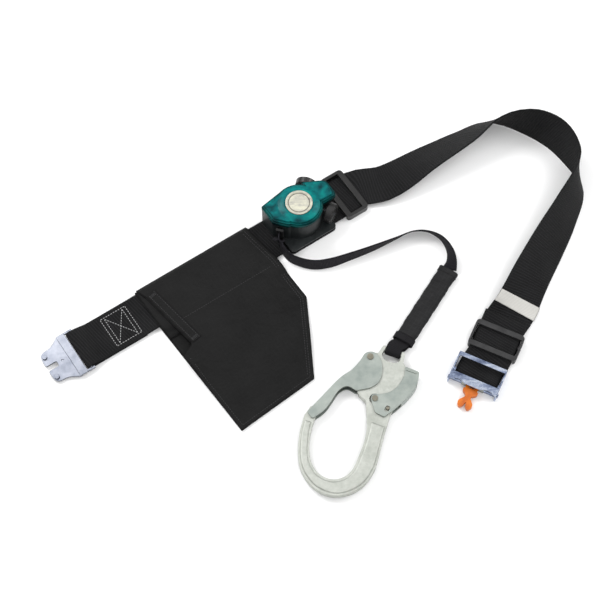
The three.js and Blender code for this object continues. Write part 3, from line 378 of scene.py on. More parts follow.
def teal_cover():
    """Tinted moulding over dark works: blotchy on top, with a painted highlight on its sharp edges and
    painted shade darker down its walls.
    """
    s = Shader("teal_cover")
    sharp, rounded = s.edge(0.0007)
    depth = s.noise(48, 4, 0.6, None, 0.8)
    blotch = s.noise(120, 3, 0.5)
    tone = s.math("ADD", s.math("MULTIPLY", depth, 0.75), s.math("MULTIPLY", blotch, 0.3))
    colour = s.ramp(tone, (0.36, srgb(0, 56, 62)), (0.5, srgb(0, 102, 104)), (0.68, srgb(0, 140, 134)))
    # Sharp edges are mixed towards a lighter teal: a painted highlight.
    colour = s.mix(s.math("MINIMUM", s.math("MULTIPLY", sharp, 3.0), 0.55), colour, srgb(6, 140, 132))
    # Painted shade: from here the colour is multiplied darker towards the bottom of the cover's walls.
    split = s.node("ShaderNodeSeparateXYZ")
    s.put(split.inputs[0], s.at())
    low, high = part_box("reel_cover")
    share = s.math("DIVIDE", s.math("SUBTRACT", split.outputs[2], low[2]), high[2] - low[2])
    colour = s.mix(1.0, colour, s.ramp(share, (0.0, 0.05), (0.45, 0.3), (0.8, 0.85)), "MULTIPLY")
    normal = s.bump(s.noise(260, 3), 0.0002, 0.2, rounded)
    return s.set(colour=colour, rough=0.36, normal=normal, coat=0.04, coat_rough=0.2, specular=0.1)


def label_metal():
    """Pale plated disc with a faint turned sheen; nothing is written on it."""
    s = Shader("label_disc")
    sharp, rounded = s.edge(0.0004)
    cloud = s.noise(210, 4, 0.6)
    streak = s.noise(260, 3, 0.6, s.stretch(0.25, 1.3, 1, -25))
    tone = s.math("ADD", s.math("MULTIPLY", cloud, 0.5), s.math("MULTIPLY", streak, 0.55))
    dull, middle, clear = srgb(128, 126, 120), srgb(176, 174, 164), srgb(208, 206, 186)
    colour = s.ramp(tone, (0.3, dull), (0.45, middle), (0.66, clear))
    low, high = (Vector(c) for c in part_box("reel_label"))
    offset = s.node("ShaderNodeVectorMath", operation="SUBTRACT")
    s.put(offset.inputs[0], s.at())
    offset.inputs[1].default_value = (low + high) / 2
    flat = s.node("ShaderNodeVectorMath", operation="MULTIPLY")
    s.put(flat.inputs[0], offset.outputs[0])
    flat.inputs[1].default_value = (1, 1, 0)
    length = s.node("ShaderNodeVectorMath", operation="LENGTH")
    s.put(length.inputs[0], flat.outputs[0])
    reach = s.math("DIVIDE", length.outputs["Value"], (high.x - low.x) / 2)
    # A dark ring in the groove near the rim: painted shade.
    groove_shade = s.ramp(reach, (0.72, 1.0), (0.76, 0.25), (0.8, 0.3), (0.84, 1.0))
    colour = s.mix(1.0, colour, groove_shade, "MULTIPLY")
    colour = s.mix(s.math("MINIMUM", s.math("MULTIPLY", sharp, 4.0), 1.0), colour, srgb(216, 214, 186))
    return s.set(colour=colour, metal=0.4, rough=0.38, normal=s.bump(streak, 0.0004, 0.6, rounded))


def thread(name, colour):
    s = Shader(name)
    twist = s.noise(2400, 2)
    tone = s.ramp(twist, (0.3, tuple(c * 0.6 for c in colour)), (0.7, colour))
    return s.set(colour=tone, rough=0.7, normal=s.bump(twist, 0.0001, 0.5))


def looks():
    m = {}
    m["belt"] = webbing("belt_webbing", srgb(2, 2, 3), srgb(36, 36, 37), rib=3.1, lift=1.8)
    m["strap"] = webbing("strap_webbing", srgb(8, 8, 11), srgb(38, 36, 42), rib=1.7, yarn=1.1, width=17)
    m["loop"] = webbing("loop_webbing", srgb(6, 6, 7), srgb(34, 33, 36), rib=1.8, yarn=1.1, width=18)
    m["marker"] = webbing(
        "marker_tape", srgb(172, 171, 167), srgb(206, 204, 199),
        rib=1.6, yarn=0.9, width=50.6, lift=0.3,
    )
    m["cloth"] = pack_cloth("pouch_cloth", srgb(1, 1, 1), srgb(25, 25, 25))
    m["sleeve"] = pack_cloth("sleeve_cloth", srgb(14, 14, 15), srgb(44, 44, 45))
    m["zinc"] = metal(
        "zinc_forging", srgb(196, 198, 192), srgb(160, 164, 156),
        rough=(0.46, 0.66), grain=3.2, smudge=22, wear_and_shade=0.4, edge_mm=0.8,
    )
    m["gate"] = metal(
        "zinc_sheet", srgb(172, 178, 172), srgb(132, 142, 138),
        rough=(0.36, 0.54), smudge=8, wear_and_shade=0.8, edge_mm=0.5, rim=srgb(92, 92, 80),
    )
    m["bright"] = metal(
        "bright_plating", srgb(148, 151, 160), srgb(88, 93, 104),
        rough=(0.3, 0.5), smudge=9, wear_and_shade=0.85, edge_mm=0.5, rim=srgb(76, 80, 90),
    )
    m["spring"] = metal(
        "spring_steel", srgb(150, 152, 156), srgb(110, 112, 118),
        rough=(0.22, 0.35), wear_and_shade=0.3, edge_mm=0.1,
    )
    m["rivet"] = metal(
        "rivet_steel", srgb(150, 146, 132), srgb(104, 100, 90),
        rough=(0.25, 0.42), edge_mm=0.3,
    )
    m["buckle"] = chrome(
        "buckle_plating", srgb(98, 108, 134), srgb(146, 158, 184),
        srgb(196, 204, 220), srgb(34, 38, 50),
    )
    m["case"] = plastic(
        "case_plastic", srgb(38, 42, 43), srgb(15, 19, 20),
        rough=(0.38, 0.52), specular=0.35,
    )
    m["black"] = plastic(
        "black_plastic", srgb(30, 30, 31), srgb(12, 12, 12),
        rough=(0.4, 0.55), grain=0.6, specular=0.3,
    )
    m["knob"] = plastic(
        "knob_plastic", srgb(26, 25, 25), srgb(11, 11, 11),
        rough=(0.25, 0.4), edge_mm=0.6,
    )
    m["orange"] = plastic(
        "orange_plastic", srgb(214, 116, 16), srgb(172, 78, 2),
        rough=(0.34, 0.46), edge_mm=0.4, coat=0.05,
    )
    m["frame"] = plastic(
        "frame_plastic", srgb(54, 54, 55), srgb(34, 34, 35),
        rough=(0.42, 0.56), grain=0.6, specular=0.3,
    )
    m["teal"] = teal_cover()
    m["label"] = label_metal()
    m["white_thread"] = thread("white_thread", srgb(206, 206, 206))
    m["dark_thread"] = thread("dark_thread", srgb(64, 64, 66))
    return m


# ---------------------------------------------------------------- curves and strips
def catmull(points, t):
    """Centripetal Catmull-Rom through the points; t runs from 0 to 1 over equal steps of the index."""
    n = len(points)
    p = (n - 1) * t
    i = min(int(math.floor(p)), n - 2)
    w = p - i
    p1, p2 = points[i], points[i + 1]
    p0 = points[i - 1] if i > 0 else points[0] * 2 - points[1]
    p3 = points[i + 2] if i + 2 < n else points[-1] * 2 - points[-2]
    dt0, dt1, dt2 = ((b - a).length ** 0.5 for a, b in ((p0, p1), (p1, p2), (p2, p3)))
    dt1 = dt1 if dt1 > 1e-4 else 1.0
    dt0 = dt0 if dt0 > 1e-4 else dt1
    dt2 = dt2 if dt2 > 1e-4 else dt1
    t1 = ((p1 - p0) / dt0 - (p2 - p0) / (dt0 + dt1) + (p2 - p1) / dt1) * dt1
    t2 = ((p2 - p1) / dt1 - (p3 - p1) / (dt1 + dt2) + (p3 - p2) / dt2) * dt1
    c2 = (p2 - p1) * 3 - t1 * 2 - t2
    c3 = (p1 - p2) * 2 + t1 + t2
    return p1 + t1 * w + c2 * w * w + c3 * w ** 3


def rings_along(centres, widths, skews=None):
    """Rings (centre, across, up); a skew slants the line across the strip forward along its course."""
    rings = []
    for i, centre in enumerate(centres):
        ahead = centres[min(i + 1, len(centres) - 1)]
        behind = centres[max(i - 1, 0)]
        along = (ahead - behind).normalized()
        across = (widths[i] - along * widths[i].dot(along)).normalized()
        up = along.cross(across)
        if skews and skews[i]:
            level = Vector((along.x, along.y, 0)).normalized()
            across = across + level * skews[i]
        rings.append((centre.copy(), across, up))
    return rings


def resample(rings, step):
    """The same strip with rings about one step apart, on smooth curves through the given ones."""
    centres = [r[0] for r in rings]
    widths = [r[1] for r in rings]
    new_c, new_w = [], []
    for i in range(len(centres) - 1):
        count = max(1, round((centres[i + 1] - centres[i]).length / step))
        for k in range(count):
            w = k / count
            new_c.append(catmull(centres, (i + w) / (len(centres) - 1)))
            new_w.append(widths[i].lerp(widths[i + 1], w))
    new_c.append(centres[-1])
    new_w.append(widths[-1])
    return rings_along(new_c, new_w)


def strip_section(width, thick, count):
    """Closed outline of a woven strip: flat faces with softly rounded edges, as (across, up) in mm."""
    top = []
    for i in range(count + 1):
        a = -1 + 2 * i / count
        a = math.sin(a * math.pi / 2) * 0.5 + a * 0.5
        rim = min(1.0, (1 - abs(a)) * width / 2 / (thick * 0.55))
        top.append((a * width / 2, thick / 2 * math.sqrt(max(0.0, 1 - (1 - rim) ** 2))))
    low = [(a, -b) for a, b in reversed(top[1:-1])]
    return top + low


def strip_mesh(name, rings, width, thick, material, count, shape=None):
    """A woven strip along rings (mm), with UVs that run (along, across) in mm."""
    section = strip_section(width, thick, count)
    n = len(section)
    verts, faces, uvs = [], [], []
    along = 0.0
    run = []
    for i, (centre, across, up) in enumerate(rings):
        along += (centre - rings[i - 1][0]).length if i else 0.0
        run.append(along)
        for a, b in section:
            da, db = shape(along, a, b) if shape else (0.0, 0.0)
            verts.append(row(centre + across * (a + da) + up * (b + db)))
    for i in range(len(rings) - 1):
        for k in range(n):
            q = (k + 1) % n
            faces.append((i * n + k, i * n + q, (i + 1) * n + q, (i + 1) * n + k))
            (u0, u1), (v0, v1) = (run[i], run[i + 1]), (section[k][0], section[q][0])
            uvs.append(((u0, v0), (u0, v1), (u1, v1), (u1, v0)))
    last = (len(rings) - 1) * n
    faces.append(tuple(range(n - 1, -1, -1)))
    uvs.append(tuple((run[0], section[k][0]) for k in range(n - 1, -1, -1)))
    faces.append(tuple(last + k for k in range(n)))
    uvs.append(tuple((run[-1], section[k][0]) for k in range(n)))
    return mesh_object(name, verts, faces, material, uvs)


def mesh_object(name, verts, faces, material, uvs=None):
    mesh = bpy.data.meshes.new(name)
    mesh.from_pydata([tuple(v) for v in verts], [], faces)
    if uvs:
        layer = mesh.uv_layers.new(name="UVMap")
        flat = [c for face in uvs for uv in face for c in uv]
        layer.data.foreach_set("uv", flat)
    mesh.materials.append(material)
    mesh.update()
    bm = bmesh.new()
    bm.from_mesh(mesh)
    bmesh.ops.recalc_face_normals(bm, faces=bm.faces)
    bm.to_mesh(mesh)
    bm.free()
    mesh.polygons.foreach_set("use_smooth", [True] * len(mesh.polygons))
    obj = bpy.data.objects.new(name, mesh)
    bpy.context.scene.collection.objects.link(obj)
    return obj


def half_turn(x, z, radius, side, steps=10):
    """Half a circle from below to above, bulging towards side, as (x, z)."""
    out = []
    for i in range(steps + 1):
        a = -math.pi / 2 + math.pi * i / steps
        out.append((x + side * radius * math.cos(a), z + radius * math.sin(a)))
    return out


# ---------------------------------------------------------------- lanyard strap (free flat cord), first
def strap_route():
    a = place(REEL, -34, -9.2)
    b = place(REEL, -38, -13)
    return [
        (a.x, a.y, 20, 0),
        (b.x, b.y, 19.4, 0),
        (-23, 67, 16.5, 0),
        (-19, 57.5, 14.6, 4),
        (-11.5, 49.6, 10, 9),
        (0, 44, 8.9, 12),
        (17, 40.4, 8.9, 14),
        (35, 43, 8.9, 14),
        (57, 51, 8.9, 6),
        (86, 63, 8.9, -4),
        (111, 75, 8.8, -18),
        (130, 84, 8.6, -26),
        (147, 84.2, 8.6, -24),
        (163, 75, 8.9, -8),
        (172, 59, 8.8, 16),
        (173.3, 46, 7.3, 42),
        (170.8, 36, 4.9, 78),
    ]


def lanyard_strap(m):
    route = strap_route()
    points = [Vector(p[:3]) for p in route]
    leans = [Vector((i, p[3], 0)) for i, p in enumerate(route)]
    steps = 150
    centres, widths = [], []
    for i in range(steps + 1):
        t = i / steps
        centre = catmull(points, t)
        ahead = catmull(points, min(1.0, t + 1e-3)) - catmull(points, max(0.0, t - 1e-3))
        ahead.z = 0
        ahead.normalize()
        lean = math.radians(catmull(leans, t).y)
        centres.append(centre)
        widths.append(Vector((-ahead.y * math.sin(lean), ahead.x * math.sin(lean), math.cos(lean))))
    strap = strip_mesh("strap", rings_along(centres, widths), 17, 1.6, m["strap"], 10)
    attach(strap, "belt")
    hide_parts("lanyard_strap")


# ---------------------------------------------------------------- waist belt
ROLLING = [
    (99.2, 150.6, 5.4, 0.14),
    (148.7, 179.6, 26.1, 0.13),
    (194.5, 206.2, 42, -0.07),
    (226.6, 225.1, 60.3, -0.13),
    (274.8, 222.3, 98.2, -0.13),
    (303.3, 204.7, 108.2, -0.13),
    (321.2, 173.4, 97.4, -0.08),
    (323.9, 141.4, 67.9, 0.1),
    (307.8, 105, 52, 0.25),
    (286.8, 67.4, 39.8, 0.15),
    (263, 24.6, 31.1, 0.02),
    (243.6, -12.7, 19.6, -0.14),
]


def rolling_rings():
    knots = [place(REEL, 52, 0), place(REEL, 78, 0)]
    knots += [Vector(p[:3]) for p in ROLLING]
    knots += [place(ADJUSTER, 0, 66), place(ADJUSTER, 0, 36)]
    slant = [0, 0] + [p[3] for p in ROLLING] + [0, 0]
    steps = 5
    total = (len(knots) - 1) * steps
    points = [catmull(knots, i / total) for i in range(total + 1)][steps:-steps]
    centres, widths, skews = [], [], []
    for i, p in enumerate(points):
        at = i / steps + 1
        k = min(int(at), len(slant) - 2)
        skews.append(slant[k] + (slant[k + 1] - slant[k]) * (at - k))
        along = points[min(i + 1, len(points) - 1)] - points[max(i - 1, 0)]
        along.z = 0
        along.normalize()
        roll = math.radians(p.z)
        lift = (BELT_Z - BELT_T / 2 - FLOOR) * max(0.0, 1 - p.z / 20)
        z = BELT_W / 2 * math.sin(roll) + BELT_T / 2 * abs(math.cos(roll)) + FLOOR + lift
        centres.append(Vector((p.x, p.y, z)))
        widths.append(Vector((-along.y * math.cos(roll), along.x * math.cos(roll), -math.sin(roll))))
    return centres, widths, skews


def belt_rings():
    low = FLOOR + BELT_T / 2
    wrap = 2.2 + GAP + BELT_T / 2
    left = [(-222, low), (-250, low), (-280, low)]
    left += half_turn(-295, low + wrap, wrap, -1)
    left += [(-288, low + 2 * wrap - 0.6), (-282, BELT_Z + 2.4), (-276, BELT_Z + 0.4), (-270, BELT_Z)]
    left += [(-200, BELT_Z), (-100, BELT_Z), (0, BELT_Z), (44, BELT_Z)]
    tail = BELT_Z + BELT_T + GAP
    bend = 2.2
    right = [(36, BELT_Z), (32, BELT_Z), (24, 2.4), (16, low), (4, low)]
    right += half_turn(-3, 3.6, bend, -1)
    right += [(4, low + 2 * bend - 0.5), (16, low + BELT_T + GAP + 0.2), (24, 2.4 + BELT_T + GAP + 0.2)]
    right += [(32, tail), (64.5, tail), (79, tail + 1.9)]
    middle, widths, skews = rolling_rings()
    near = [place(BUCKLE, 0, y, z).lerp(place(ADJUSTER, 0, y, z), smoothstep(y, 10, 30)) for y, z in right]
    centres = [place(REEL, x, 0, z) for x, z in left] + middle + near
    across = [turn(REEL, 0, 1)] * len(left) + widths + [turn(BUCKLE, 1, 0)] * len(right)
    return rings_along(centres, across, [0] * len(left) + skews + [0] * len(right))


BELT_RINGS = belt_rings()


def dense(rings, step):
    """Rings on straight lines between the given ones: the strip keeps exactly the CAD's course."""
    out = []
    for (c0, w0, n0), (c1, w1, n1) in zip(rings, rings[1:]):
        count = max(1, round((c1 - c0).length / step))
        for k in range(count):
            t = k / count
            out.append((c0.lerp(c1, t), w0.lerp(w1, t), n0.lerp(n1, t).normalized()))
    out.append(rings[-1])
    return out


def waist_belt(m):
    def slack(along, a, b):
        wave = 0.12 * math.sin(along / 23.0) * math.sin(a / 9.0)
        return 0.15 * math.sin(along / 31.0 + a * 0.02), wave

    belt = strip_mesh("belt", dense(BELT_RINGS, 6), BELT_W, BELT_T - 0.2, m["belt"], 18, slack)
    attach(belt, "belt")
    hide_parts("waist_belt")


# ---------------------------------------------------------------- stitching
# One stitch: (share of its length, share of its radius, lift in radii)
THREAD_PROFILE = [(0.0, 0.25, -0.5), (0.18, 0.9, 0.1), (0.5, 1.0, 0.35), (0.82, 0.9, 0.1), (1.0, 0.25, -0.5)]


def stitches(name, runs, radius, material, body, pitch=3.2, share=0.72):
    """Short rounded threads along straight runs of (start, end) points in layout mm, joined in one piece."""
    verts, faces = [], []
    sides = 6
    for start, end in runs:
        d = end - start
        count = max(1, round(d.length / pitch))
        along = d.normalized()
        side = along.cross(Vector((0, 0, 1))).normalized()
        up = side.cross(along)
        for k in range(count):
            a = start + d * ((k + (1 - share) / 2) / count)
            b = start + d * ((k + (1 + share) / 2) / count)
            base = len(verts)
            for t, r, lift in THREAD_PROFILE:
                c = a.lerp(b, t) + up * (lift * radius)
                for q in range(sides):
                    w = 2 * math.pi * q / sides
                    verts.append(row(c + side * (math.cos(w) * r * radius) + up * (math.sin(w) * r * radius)))
            for t in range(len(THREAD_PROFILE) - 1):
                for q in range(sides):
                    n = (q + 1) % sides
                    at = base + t * sides
                    faces.append((at + q, at + n, at + sides + n, at + sides + q))
            faces.append(tuple(base + q for q in range(sides - 1, -1, -1)))
            top = base + (len(THREAD_PROFILE) - 1) * sides
            faces.append(tuple(top + q for q in range(sides)))
    threads = mesh_object(name, verts, faces, material)
    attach(threads, body)


def belt_stitching(m):
    top = BELT_Z + BELT_T / 2 + 0.02

    def p(u, v, z=top):
        return place(REEL, u, v, z)

    box = [(-258, 19), (-226, 19), (-226, -19), (-258, -19)]
    inner = [(-253.5, 17.5), (-230.5, 17.5), (-230.5, -17.5), (-253.5, -17.5)]
    runs = [(p(*box[i]), p(*box[(i + 1) % 4])) for i in range(4)]
    runs += [(p(*inner[1]), p(*inner[2])), (p(*inner[3]), p(*inner[0]))]
    runs += [(p(*inner[0]), p(*inner[2])), (p(*inner[1]), p(*inner[3]))]
    runs.append((p(-278.5, 21, BELT_Z + 1.7), p(-278.5, -21, BELT_Z + 1.7)))
    stitches("belt_stitching", runs, 0.3, m["white_thread"], "belt")


# ---------------------------------------------------------------- marker band
def ring_at(distance):
    def away(r):
        return math.hypot(r[0].x - BUCKLE[0], r[0].y - BUCKLE[1])

    for i, r in enumerate(BELT_RINGS):
        if r[0].x > BUCKLE[0] + 20 and r[2].z > 0 and away(r) < distance:
            far = BELT_RINGS[i - 1]
            share = (distance - away(r)) / (away(far) - away(r))
            return (r[0].lerp(far[0], share), r[1].lerp(far[1], share), r[2].lerp(far[2], share)), i
    raise RuntimeError("the belt doesn't come that near")


def marker_band(m):
    (start, i), (end, j) = ring_at(MARKER_FROM), ring_at(MARKER_TO)
    span = [start] + BELT_RINGS[i:j] + [end]
    off = BELT_T / 2 + 2 * GAP + MARKER_T / 2
    span = [(c + up * off, w, up) for c, w, up in span]

    def wavy(along, a, b):
        """The last stretch of the tape lifts a little, in waves across it."""
        return 0.0, 0.07 * math.sin(a * 0.42) if along > 13 else 0.0

    tape = strip_mesh("marker_tape", dense(span, 1.5), BELT_W + 0.6, MARKER_T, m["marker"], 18, wavy)
    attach(tape, "belt")
    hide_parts("belt_marker_band")


# ---------------------------------------------------------------- hook loop
def hook_loop(m):
    centre_z = 6.8
    wrap = 2.5 * 1.35 + GAP + 0.9
    legs = [(92, 0.0), (102, 0.1), (107, 0.25)]
    sleeve_across = -turn(SLEEVE, 1, 0)
    hook_across = turn(HOOK, 1, 0)

    def leg(side):
        course = []
        for y, k in legs:
            z = 4.9 + 0.7 * k + side * (1.35 + 2 * k)
            course.append((place(SLEEVE, 0, y, z), sleeve_across.lerp(hook_across, k * 2)))
        return course

    ring = [(place(HOOK, 0, -y, z), hook_across) for y, z in half_turn(-6.6, centre_z, wrap, 1, 12)]
    before = (place(HOOK, 0, 12.6, centre_z - wrap + 0.2), hook_across)
    after = (place(HOOK, 0, 12.6, centre_z + wrap - 0.2), hook_across)
    course = leg(-1) + [before] + ring + [after] + leg(1)[::-1]
    rings = rings_along([c for c, _ in course], [w for _, w in course])
    loop = strip_mesh("eye_loop", resample(rings, 1.4), HOOK_LOOP_W, HOOK_LOOP_T, m["loop"], 10)
    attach(loop, "belt")
    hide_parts("hook_loop")


# ---------------------------------------------------------------- pouch
LEFT_EDGE = [(-206, 26.6), (-201, 13), (-188, -65), (-204, -73), (-197, -180)]
RIGHT_EDGE = [(-58, 26.6), (-50, -26), (-48, -85), (-97, -173)]
BACK_LEFT = [(-208, 26.9), (-206, -27), (-197, -180)]
BACK_RIGHT = [(-57, 26.9), (-50, -26), (-48, -85), (-97, -173)]
TOP_Y, LEFT_FOOT, RIGHT_FOOT = 26.6, -180.0, -173.0


def edge_x(edge, y):
    """Where an edge of the pouch stands at this height."""
    y = min(max(y, edge[-1][1]), edge[0][1])
    for (x0, y0), (x1, y1) in zip(edge, edge[1:]):
        if y1 <= y:
            return x0 + (x1 - x0) * (y0 - y) / max(1e-6, y0 - y1)
    return edge[-1][0]


def panel_point(s, t, left, right):
    """A panel's flat point: s runs from its left to its right edge, t from the top down to the foot."""
    yl = TOP_Y + (LEFT_FOOT - TOP_Y) * t
    yr = TOP_Y + (RIGHT_FOOT - TOP_Y) * t
    xl, xr = edge_x(left, yl), edge_x(right, yr)
    return xl + (xr - xl) * s, yl + (yr - yl) * s


def line_distance(x, y, a, b):
    dx, dy = b[0] - a[0], b[1] - a[1]
    k = ((x - a[0]) * dx + (y - a[1]) * dy) / (dx * dx + dy * dy)
    k = min(max(k, 0.0), 1.0)
    return math.hypot(x - a[0] - k * dx, y - a[1] - k * dy), k


CREASES = [
    ((-136, 26), (-58, -20), 4.5, 0.5),
    ((-150, 6), (-62, -2), 6.0, 0.35),
    ((-178, -60), (-92, -150), 12.0, 0.7),
    ((-188, -110), (-118, -168), 9.0, -0.5),
    ((-70, -60), (-150, -118), 14.0, -0.6),
    ((-60, -92), (-132, -96), 10.0, 0.5),
    ((-176, -24), (-120, -64), 9.0, 0.4),
    ((-196, -86), (-186, -170), 7.0, 0.4),
]


def ripple(x, y):
    """Folds of the cloth: long soft creases and a slow unevenness."""
    z = 0.0
    for a, b, width, height in CREASES:
        d, k = line_distance(x, y, a, b)
        z += height * math.exp(-((d / width) ** 2)) * math.sin(math.pi * (0.12 + 0.76 * k))
    z += 0.25 * math.sin(x * 0.071 + y * 0.043) + 0.2 * math.sin(x * 0.039 - y * 0.087 + 1.0)
    return z


def front_height(x, y):
    foot = smoothstep(y, -176, -112)
    closed = smoothstep(-y, 84, 112)
    left = 1 - closed + closed * smoothstep(x + 210, 4, 38)
    right = smoothstep(-46 - x, 4, 38)
    belly = foot * left * right
    high = smoothstep(y, -52, -38)
    rise = (2.7 + 5.6 * belly) * (1 - high) + 7.9 * high
    slack = 0.25 + 0.75 * belly * (1 - high)
    return rise + ripple(x, y) * 1.9 * slack + 0.25


def sheet_grid(name, point, columns, rows, thick, material):
    """A closed sheet of cloth: point(s, t) gives its middle in layout mm and its flat (u, v) in mm."""
    mid, flat = [], []
    for j in range(rows + 1):
        for i in range(columns + 1):
            p, uv = point(i / columns, j / rows)
            mid.append(p)
            flat.append(uv)
    wide = columns + 1

    def normal(i, j):
        a = mid[j * wide + min(i + 1, columns)] - mid[j * wide + max(i - 1, 0)]
        b = mid[min(j + 1, rows) * wide + i] - mid[max(j - 1, 0) * wide + i]
        n = b.cross(a)
        return n.normalized() if n.length > 1e-9 else Vector((0, 0, 1))

    normals = [normal(i, j) for j in range(rows + 1) for i in range(wide)]
    half = thick / 2
    verts = [row(p + n * half) for p, n in zip(mid, normals)]
    verts += [row(p - n * half) for p, n in zip(mid, normals)]
    low = len(mid)
    faces, uvs = [], []

    def face(*ids):
        faces.append(ids)
        uvs.append(tuple(flat[i % low] for i in ids))

    for j in range(rows):
        for i in range(columns):
            a, b, c, d = j * wide + i, j * wide + i + 1, (j + 1) * wide + i + 1, (j + 1) * wide + i
            face(a, b, c, d)
            face(low + d, low + c, low + b, low + a)
    rim = [i for i in range(columns)] + [j * wide + columns for j in range(rows)]
    rim += [rows * wide + i for i in range(columns, 0, -1)] + [j * wide for j in range(rows, 0, -1)]
    for a, b in zip(rim, rim[1:] + rim[:1]):
        face(b, a, low + a, low + b)
    return mesh_object(name, verts, faces, material, uvs)


def pouch_front(m):
    def point(s, t):
        t = t ** 0.92
        x, y = panel_point(s, t, LEFT_EDGE, RIGHT_EDGE)
        z = front_height(x, y)
        tuck = smoothstep(y, 24, 26.6)
        z -= 1.8 * tuck * tuck
        return place(REEL, x, y + 0.4 * tuck, z), (x, y)

    front = sheet_grid("pouch_front_panel", point, 64, 84, 1.1, m["cloth"])
    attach(front, "pouch")
    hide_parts("pouch_front")


def back_course():
    """The back panel's course from its foot, under the belt, over its upper edge and down again."""
    course = [(LEFT_FOOT + 8 * i, 1.0) for i in range(26)]
    course.append((23.9, 1.0))
    for i in range(9):
        a = -math.pi / 2 + math.pi * i / 8
        course.append((24.4 + 1.95 * math.cos(a), 3.55 + 2.55 * math.sin(a)))
    course += [(22.5, 6.12), (14, 6.15), (0, 6.15), (-14, 6.15), (-24, 6.1), (-29, 5.9)]
    course += [(-32.5, 4.6), (-35, 3.0), (-38, 2.45), (-44, 2.4)]
    return course


def pouch_back(m):
    course = back_course()
    run = [0.0]
    for (y0, z0), (y1, z1) in zip(course, course[1:]):
        run.append(run[-1] + math.hypot(y1 - y0, z1 - z0))
    rows = len(course) - 1

    def point(s, t):
        j = round(t * rows)
        y, z = course[j]
        if y < -172:
            y = max(y, LEFT_FOOT + (RIGHT_FOOT - LEFT_FOOT) * s)
        xl, xr = edge_x(BACK_LEFT, y), edge_x(BACK_RIGHT, y)
        x = xl + (xr - xl) * s
        return place(REEL, x, y, z), (x, run[j] - 180)

    back = sheet_grid("pouch_back_panel", point, 40, rows, 1.15, m["cloth"])
    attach(back, "pouch")
    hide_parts("pouch_back")


def pouch_stitches(m, name, lines, lift, radius, pitch, share=0.7):
    """Threads along polylines of flat (x, y), a lift above the middle of the front panel."""
    def on_panel(x, y):
        return place(REEL, x, y, front_height(x, y) + lift)

    runs = []
    for line in lines:
        for (x0, y0), (x1, y1) in zip(line, line[1:]):
            parts = max(1, round(math.hypot(x1 - x0, y1 - y0) / 12))
            for k in range(parts):
                a, b = k / parts, (k + 1) / parts
                start = on_panel(x0 + (x1 - x0) * a, y0 + (y1 - y0) * a)
                end = on_panel(x0 + (x1 - x0) * b, y0 + (y1 - y0) * b)
                runs.append((start, end))
    stitches(name, runs, radius, m["dark_thread"], "pouch", pitch, share)


def pouch_hem(m):
    """The folded hem along the mouth, with its two thread lines and its bar tacks."""
    top, foot = (-200.4, 13.5), (-187.2, -64.5)
    length = math.hypot(foot[0] - top[0], foot[1] - top[1])
    along = Vector((foot[0] - top[0], foot[1] - top[1], 0)).normalized()
    inward = Vector((-along.y, along.x, 0))

    def flat(share, distance):
        """The flat (x, y) a share of the way down the mouth and a distance in from its edge."""
        x = top[0] + along.x * length * share + inward.x * distance
        y = top[1] + along.y * length * share + inward.y * distance
        return x, y

    def point(s, t):
        x, y = flat(t, 0.6 + 12.4 * s)
        rounded = min(1.0, s * 8, (1 - s) * 14)
        z = front_height(x, y) + 0.35 + 0.55 * rounded
        z += 0.14 * math.sin(t * 61 + s * 5) * math.sin(math.pi * s)
        return place(REEL, x, y, z), (x + 90, y)

    hem = sheet_grid("pouch_mouth_hem", point, 14, 60, 0.7, m["cloth"])
    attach(hem, "pouch")
    lines = [[flat(0.0, 10.8), flat(1.0, 10.8)], [flat(0.02, 3.0), flat(0.98, 3.0)]]
    pouch_stitches(m, "pouch_hem_stitching", lines, 1.32, 0.26, 2.6)
    bars = [[flat(k, 2.4), flat(k, 10.0)] for k in (0.035, 0.05, 0.065, 0.935, 0.95, 0.965)]
    pouch_stitches(m, "pouch_bar_tacks", bars, 1.32, 0.3, 1.3, 0.9)


def pouch_seams(m):
    outer = [(-62.5, 22.5), (-54.5, -26.5), (-52.4, -83.6), (-99.6, -168.8), (-192.8, -175.6), (-199.2, -78)]
    inner = [(-65.6, 20.5), (-57.6, -26.5), (-55.4, -83), (-101.2, -166)]
    belt_line = [(-62, -32.5), (-192, -32.5)]
    pouch_stitches(m, "pouch_seam_stitching", [outer, inner], 0.62, 0.22, 2.8)
    pouch_stitches(m, "pouch_belt_seam", [belt_line], 0.62, 0.22, 2.8)


